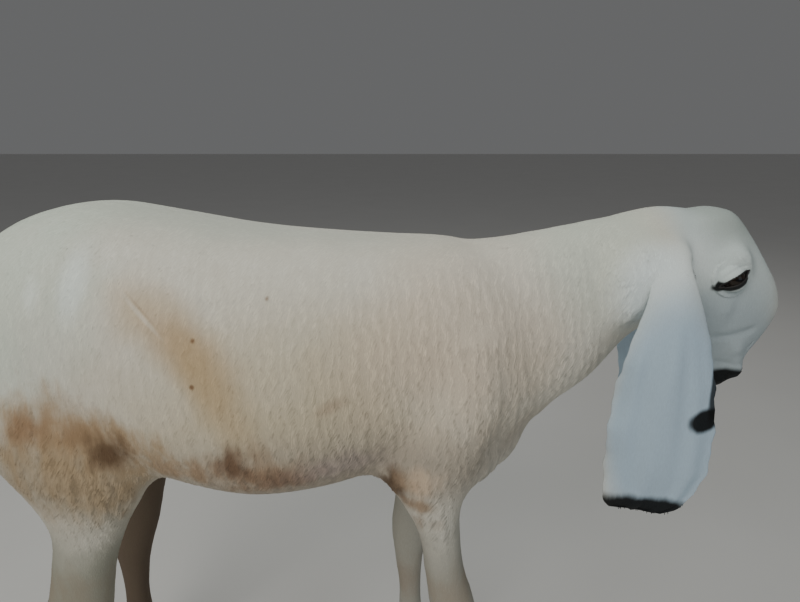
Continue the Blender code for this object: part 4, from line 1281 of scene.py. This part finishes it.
def coat_mesh(name, chosen):
    """The chosen tufts as one mesh: three sides of two faces, a closed root, tip and tone values,
    and for each tuft a patch of the unwrap about its root, its root below and its tip above."""
    number = np.arange(len(chosen))[:, None]
    points = tuft_points(*(values[chosen] for values in TUFT))
    mesh = bpy.data.meshes.new(name)
    mesh.vertices.add(7 * len(chosen))
    mesh.vertices.foreach_set("co", life_size(points).astype(np.float32).ravel())
    loops = (TUFT_LOOPS + 7 * number).ravel()
    mesh.loops.add(len(loops))
    mesh.loops.foreach_set("vertex_index", loops.astype(np.int32))
    mesh.polygons.add(7 * len(chosen))
    starts = (TUFT_STARTS + len(TUFT_LOOPS) * number).ravel()
    mesh.polygons.foreach_set("loop_start", starts.astype(np.int32))
    mesh.update(calc_edges=True)
    centre = points.copy()
    centre[:, :3] = points[:, :3].mean(1, keepdims=True)
    centre[:, 3:6] = points[:, 3:6].mean(1, keepdims=True)
    outward = points - centre
    outward /= np.maximum(np.linalg.norm(outward, axis=2, keepdims=True), 1e-9)
    facing = unit(soft[chosen][:, None] + 0.22 * outward)
    values = (
        ("custom_normal", "FLOAT_VECTOR", "vector", facing),
        ("tip", "FLOAT", "value", np.tile(TUFT_TIPS, len(chosen))),
        ("tone", "FLOAT", "value", np.repeat(tones[chosen], 7)),
    )
    for label, kind, key, value in values:
        layer = mesh.attributes.new(label, kind, "POINT")
        layer.data.foreach_set(key, value.astype(np.float32).ravel())
    patch = chart[chosen][:, None] + PATCH * np.array(TUFT_SPREAD)[TUFT_LOOPS]
    layer = mesh.uv_layers.new(name="OFBake")
    layer.data.foreach_set("uv", patch.clip(0, 1).astype(np.float32).ravel())
    mesh.shade_smooth()
    return mesh


def coat_material(name, root_shade, roughness, sheen):
    """Markings, with painted shade that darkens them towards the root by root_shade, a little
    lighter or darker from tuft to tuft.
    """
    made, tree, shader, colour, place, _ = with_markings(name)
    tip = node(tree, "Attribute", "Fac", {}, attribute_name="tip")
    tone = node(tree, "Attribute", "Fac", {}, attribute_name="tone")
    level = maths(tree, "MULTIPLY", ranged(tree, tip, (0, 1), (root_shade, 1.04)), tone)
    fibre = noise(tree, place, 1600, 2, (1, 1, 0.3))
    finish = {
        "Base Color": shaded(tree, colour, level),
        "Roughness": roughness,
        "Specular IOR Level": 0.12,
        "Sheen Weight": sheen,
        "Sheen Roughness": 0.45,
        "Normal": bumped(tree, fibre, 0.35, 0.0004),
    }
    plug(tree, shader, finish)
    return made


wool_kind = coat_material("shorn_wool", 0.93, 0.94, 0.12)
hair_kind = coat_material("short_hair", 0.94, 0.84, 0.0)
body, right, x = region == BODY, roots[:, 1] < 0, roots[:, 0]
NECK_START = 0.15
COAT_SPANS = (("rump", -1.0, -0.30), ("flank", -0.30, -0.06), ("shoulder", -0.06, NECK_START))
coat_pieces = {
    f"coat_{span}_{word}": (body & own & (x >= low) & (x < high), wool_kind)
    for span, low, high in COAT_SPANS
    for word, own in (("right", right), ("left", ~right))
}
coat_pieces["coat_neck"] = (body & (x >= NECK_START), wool_kind)
coat_pieces["coat_fore_legs"] = ((region == 1) | (region == 2), hair_kind)
coat_pieces["coat_hind_legs"] = ((region == 3) | (region == 4), hair_kind)
coat_pieces["coat_head"] = (region == HEAD, hair_kind)
coat_pieces["coat_ears"] = ((region == RIGHT_EAR) | (region == LEFT_EAR), hair_kind)
coat_pieces["coat_tail"] = (region == TAIL, wool_kind)
for name, (chosen, kind) in coat_pieces.items():
    coat = new_object(name, coat_mesh(name, np.flatnonzero(chosen)), kind)
    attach(coat, "root")


# ------------------------------------------------------------------ the hooves
# Eight claws and eight dewclaws of dark horn, grown downwards in fine rings and scuffed paler
# towards the ground. Their fixed nodes stay and are given the horn finish.
horn_kind, tree, shader = new_material("hoof_horn")
place = node(tree, "TexCoord", "Object", {})
grain = noise(tree, place, 260, 4, (1, 1, 0.12))
horn = mixed(tree, grain, (0.045, 0.034, 0.027), (0.135, 0.100, 0.072))
height = node(tree, "SeparateXYZ", "Z", {"Vector": place})
scuff = ranged(tree, height, (0.016, 0.0), (0, 1))
growth = noise(tree, place, 180, 3, (0.25, 0.25, 2.2))
finish = {
    "Base Color": brush(tree, horn, scuff, (0.26, 0.20, 0.14), 0.6),
    "Roughness": 0.45,
    "Normal": bumped(tree, growth, 0.5, 0.0008),
}
plug(tree, shader, finish)
for name, node_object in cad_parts.items():
    if name.startswith(("hoof", "dewclaw")):
        for slot in node_object.material_slots:
            slot.material = horn_kind

sizes = {"frame": frame_box, "looks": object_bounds()}
sizes = {key: [[float(v) for v in corner] for corner in box] for key, box in sizes.items()}
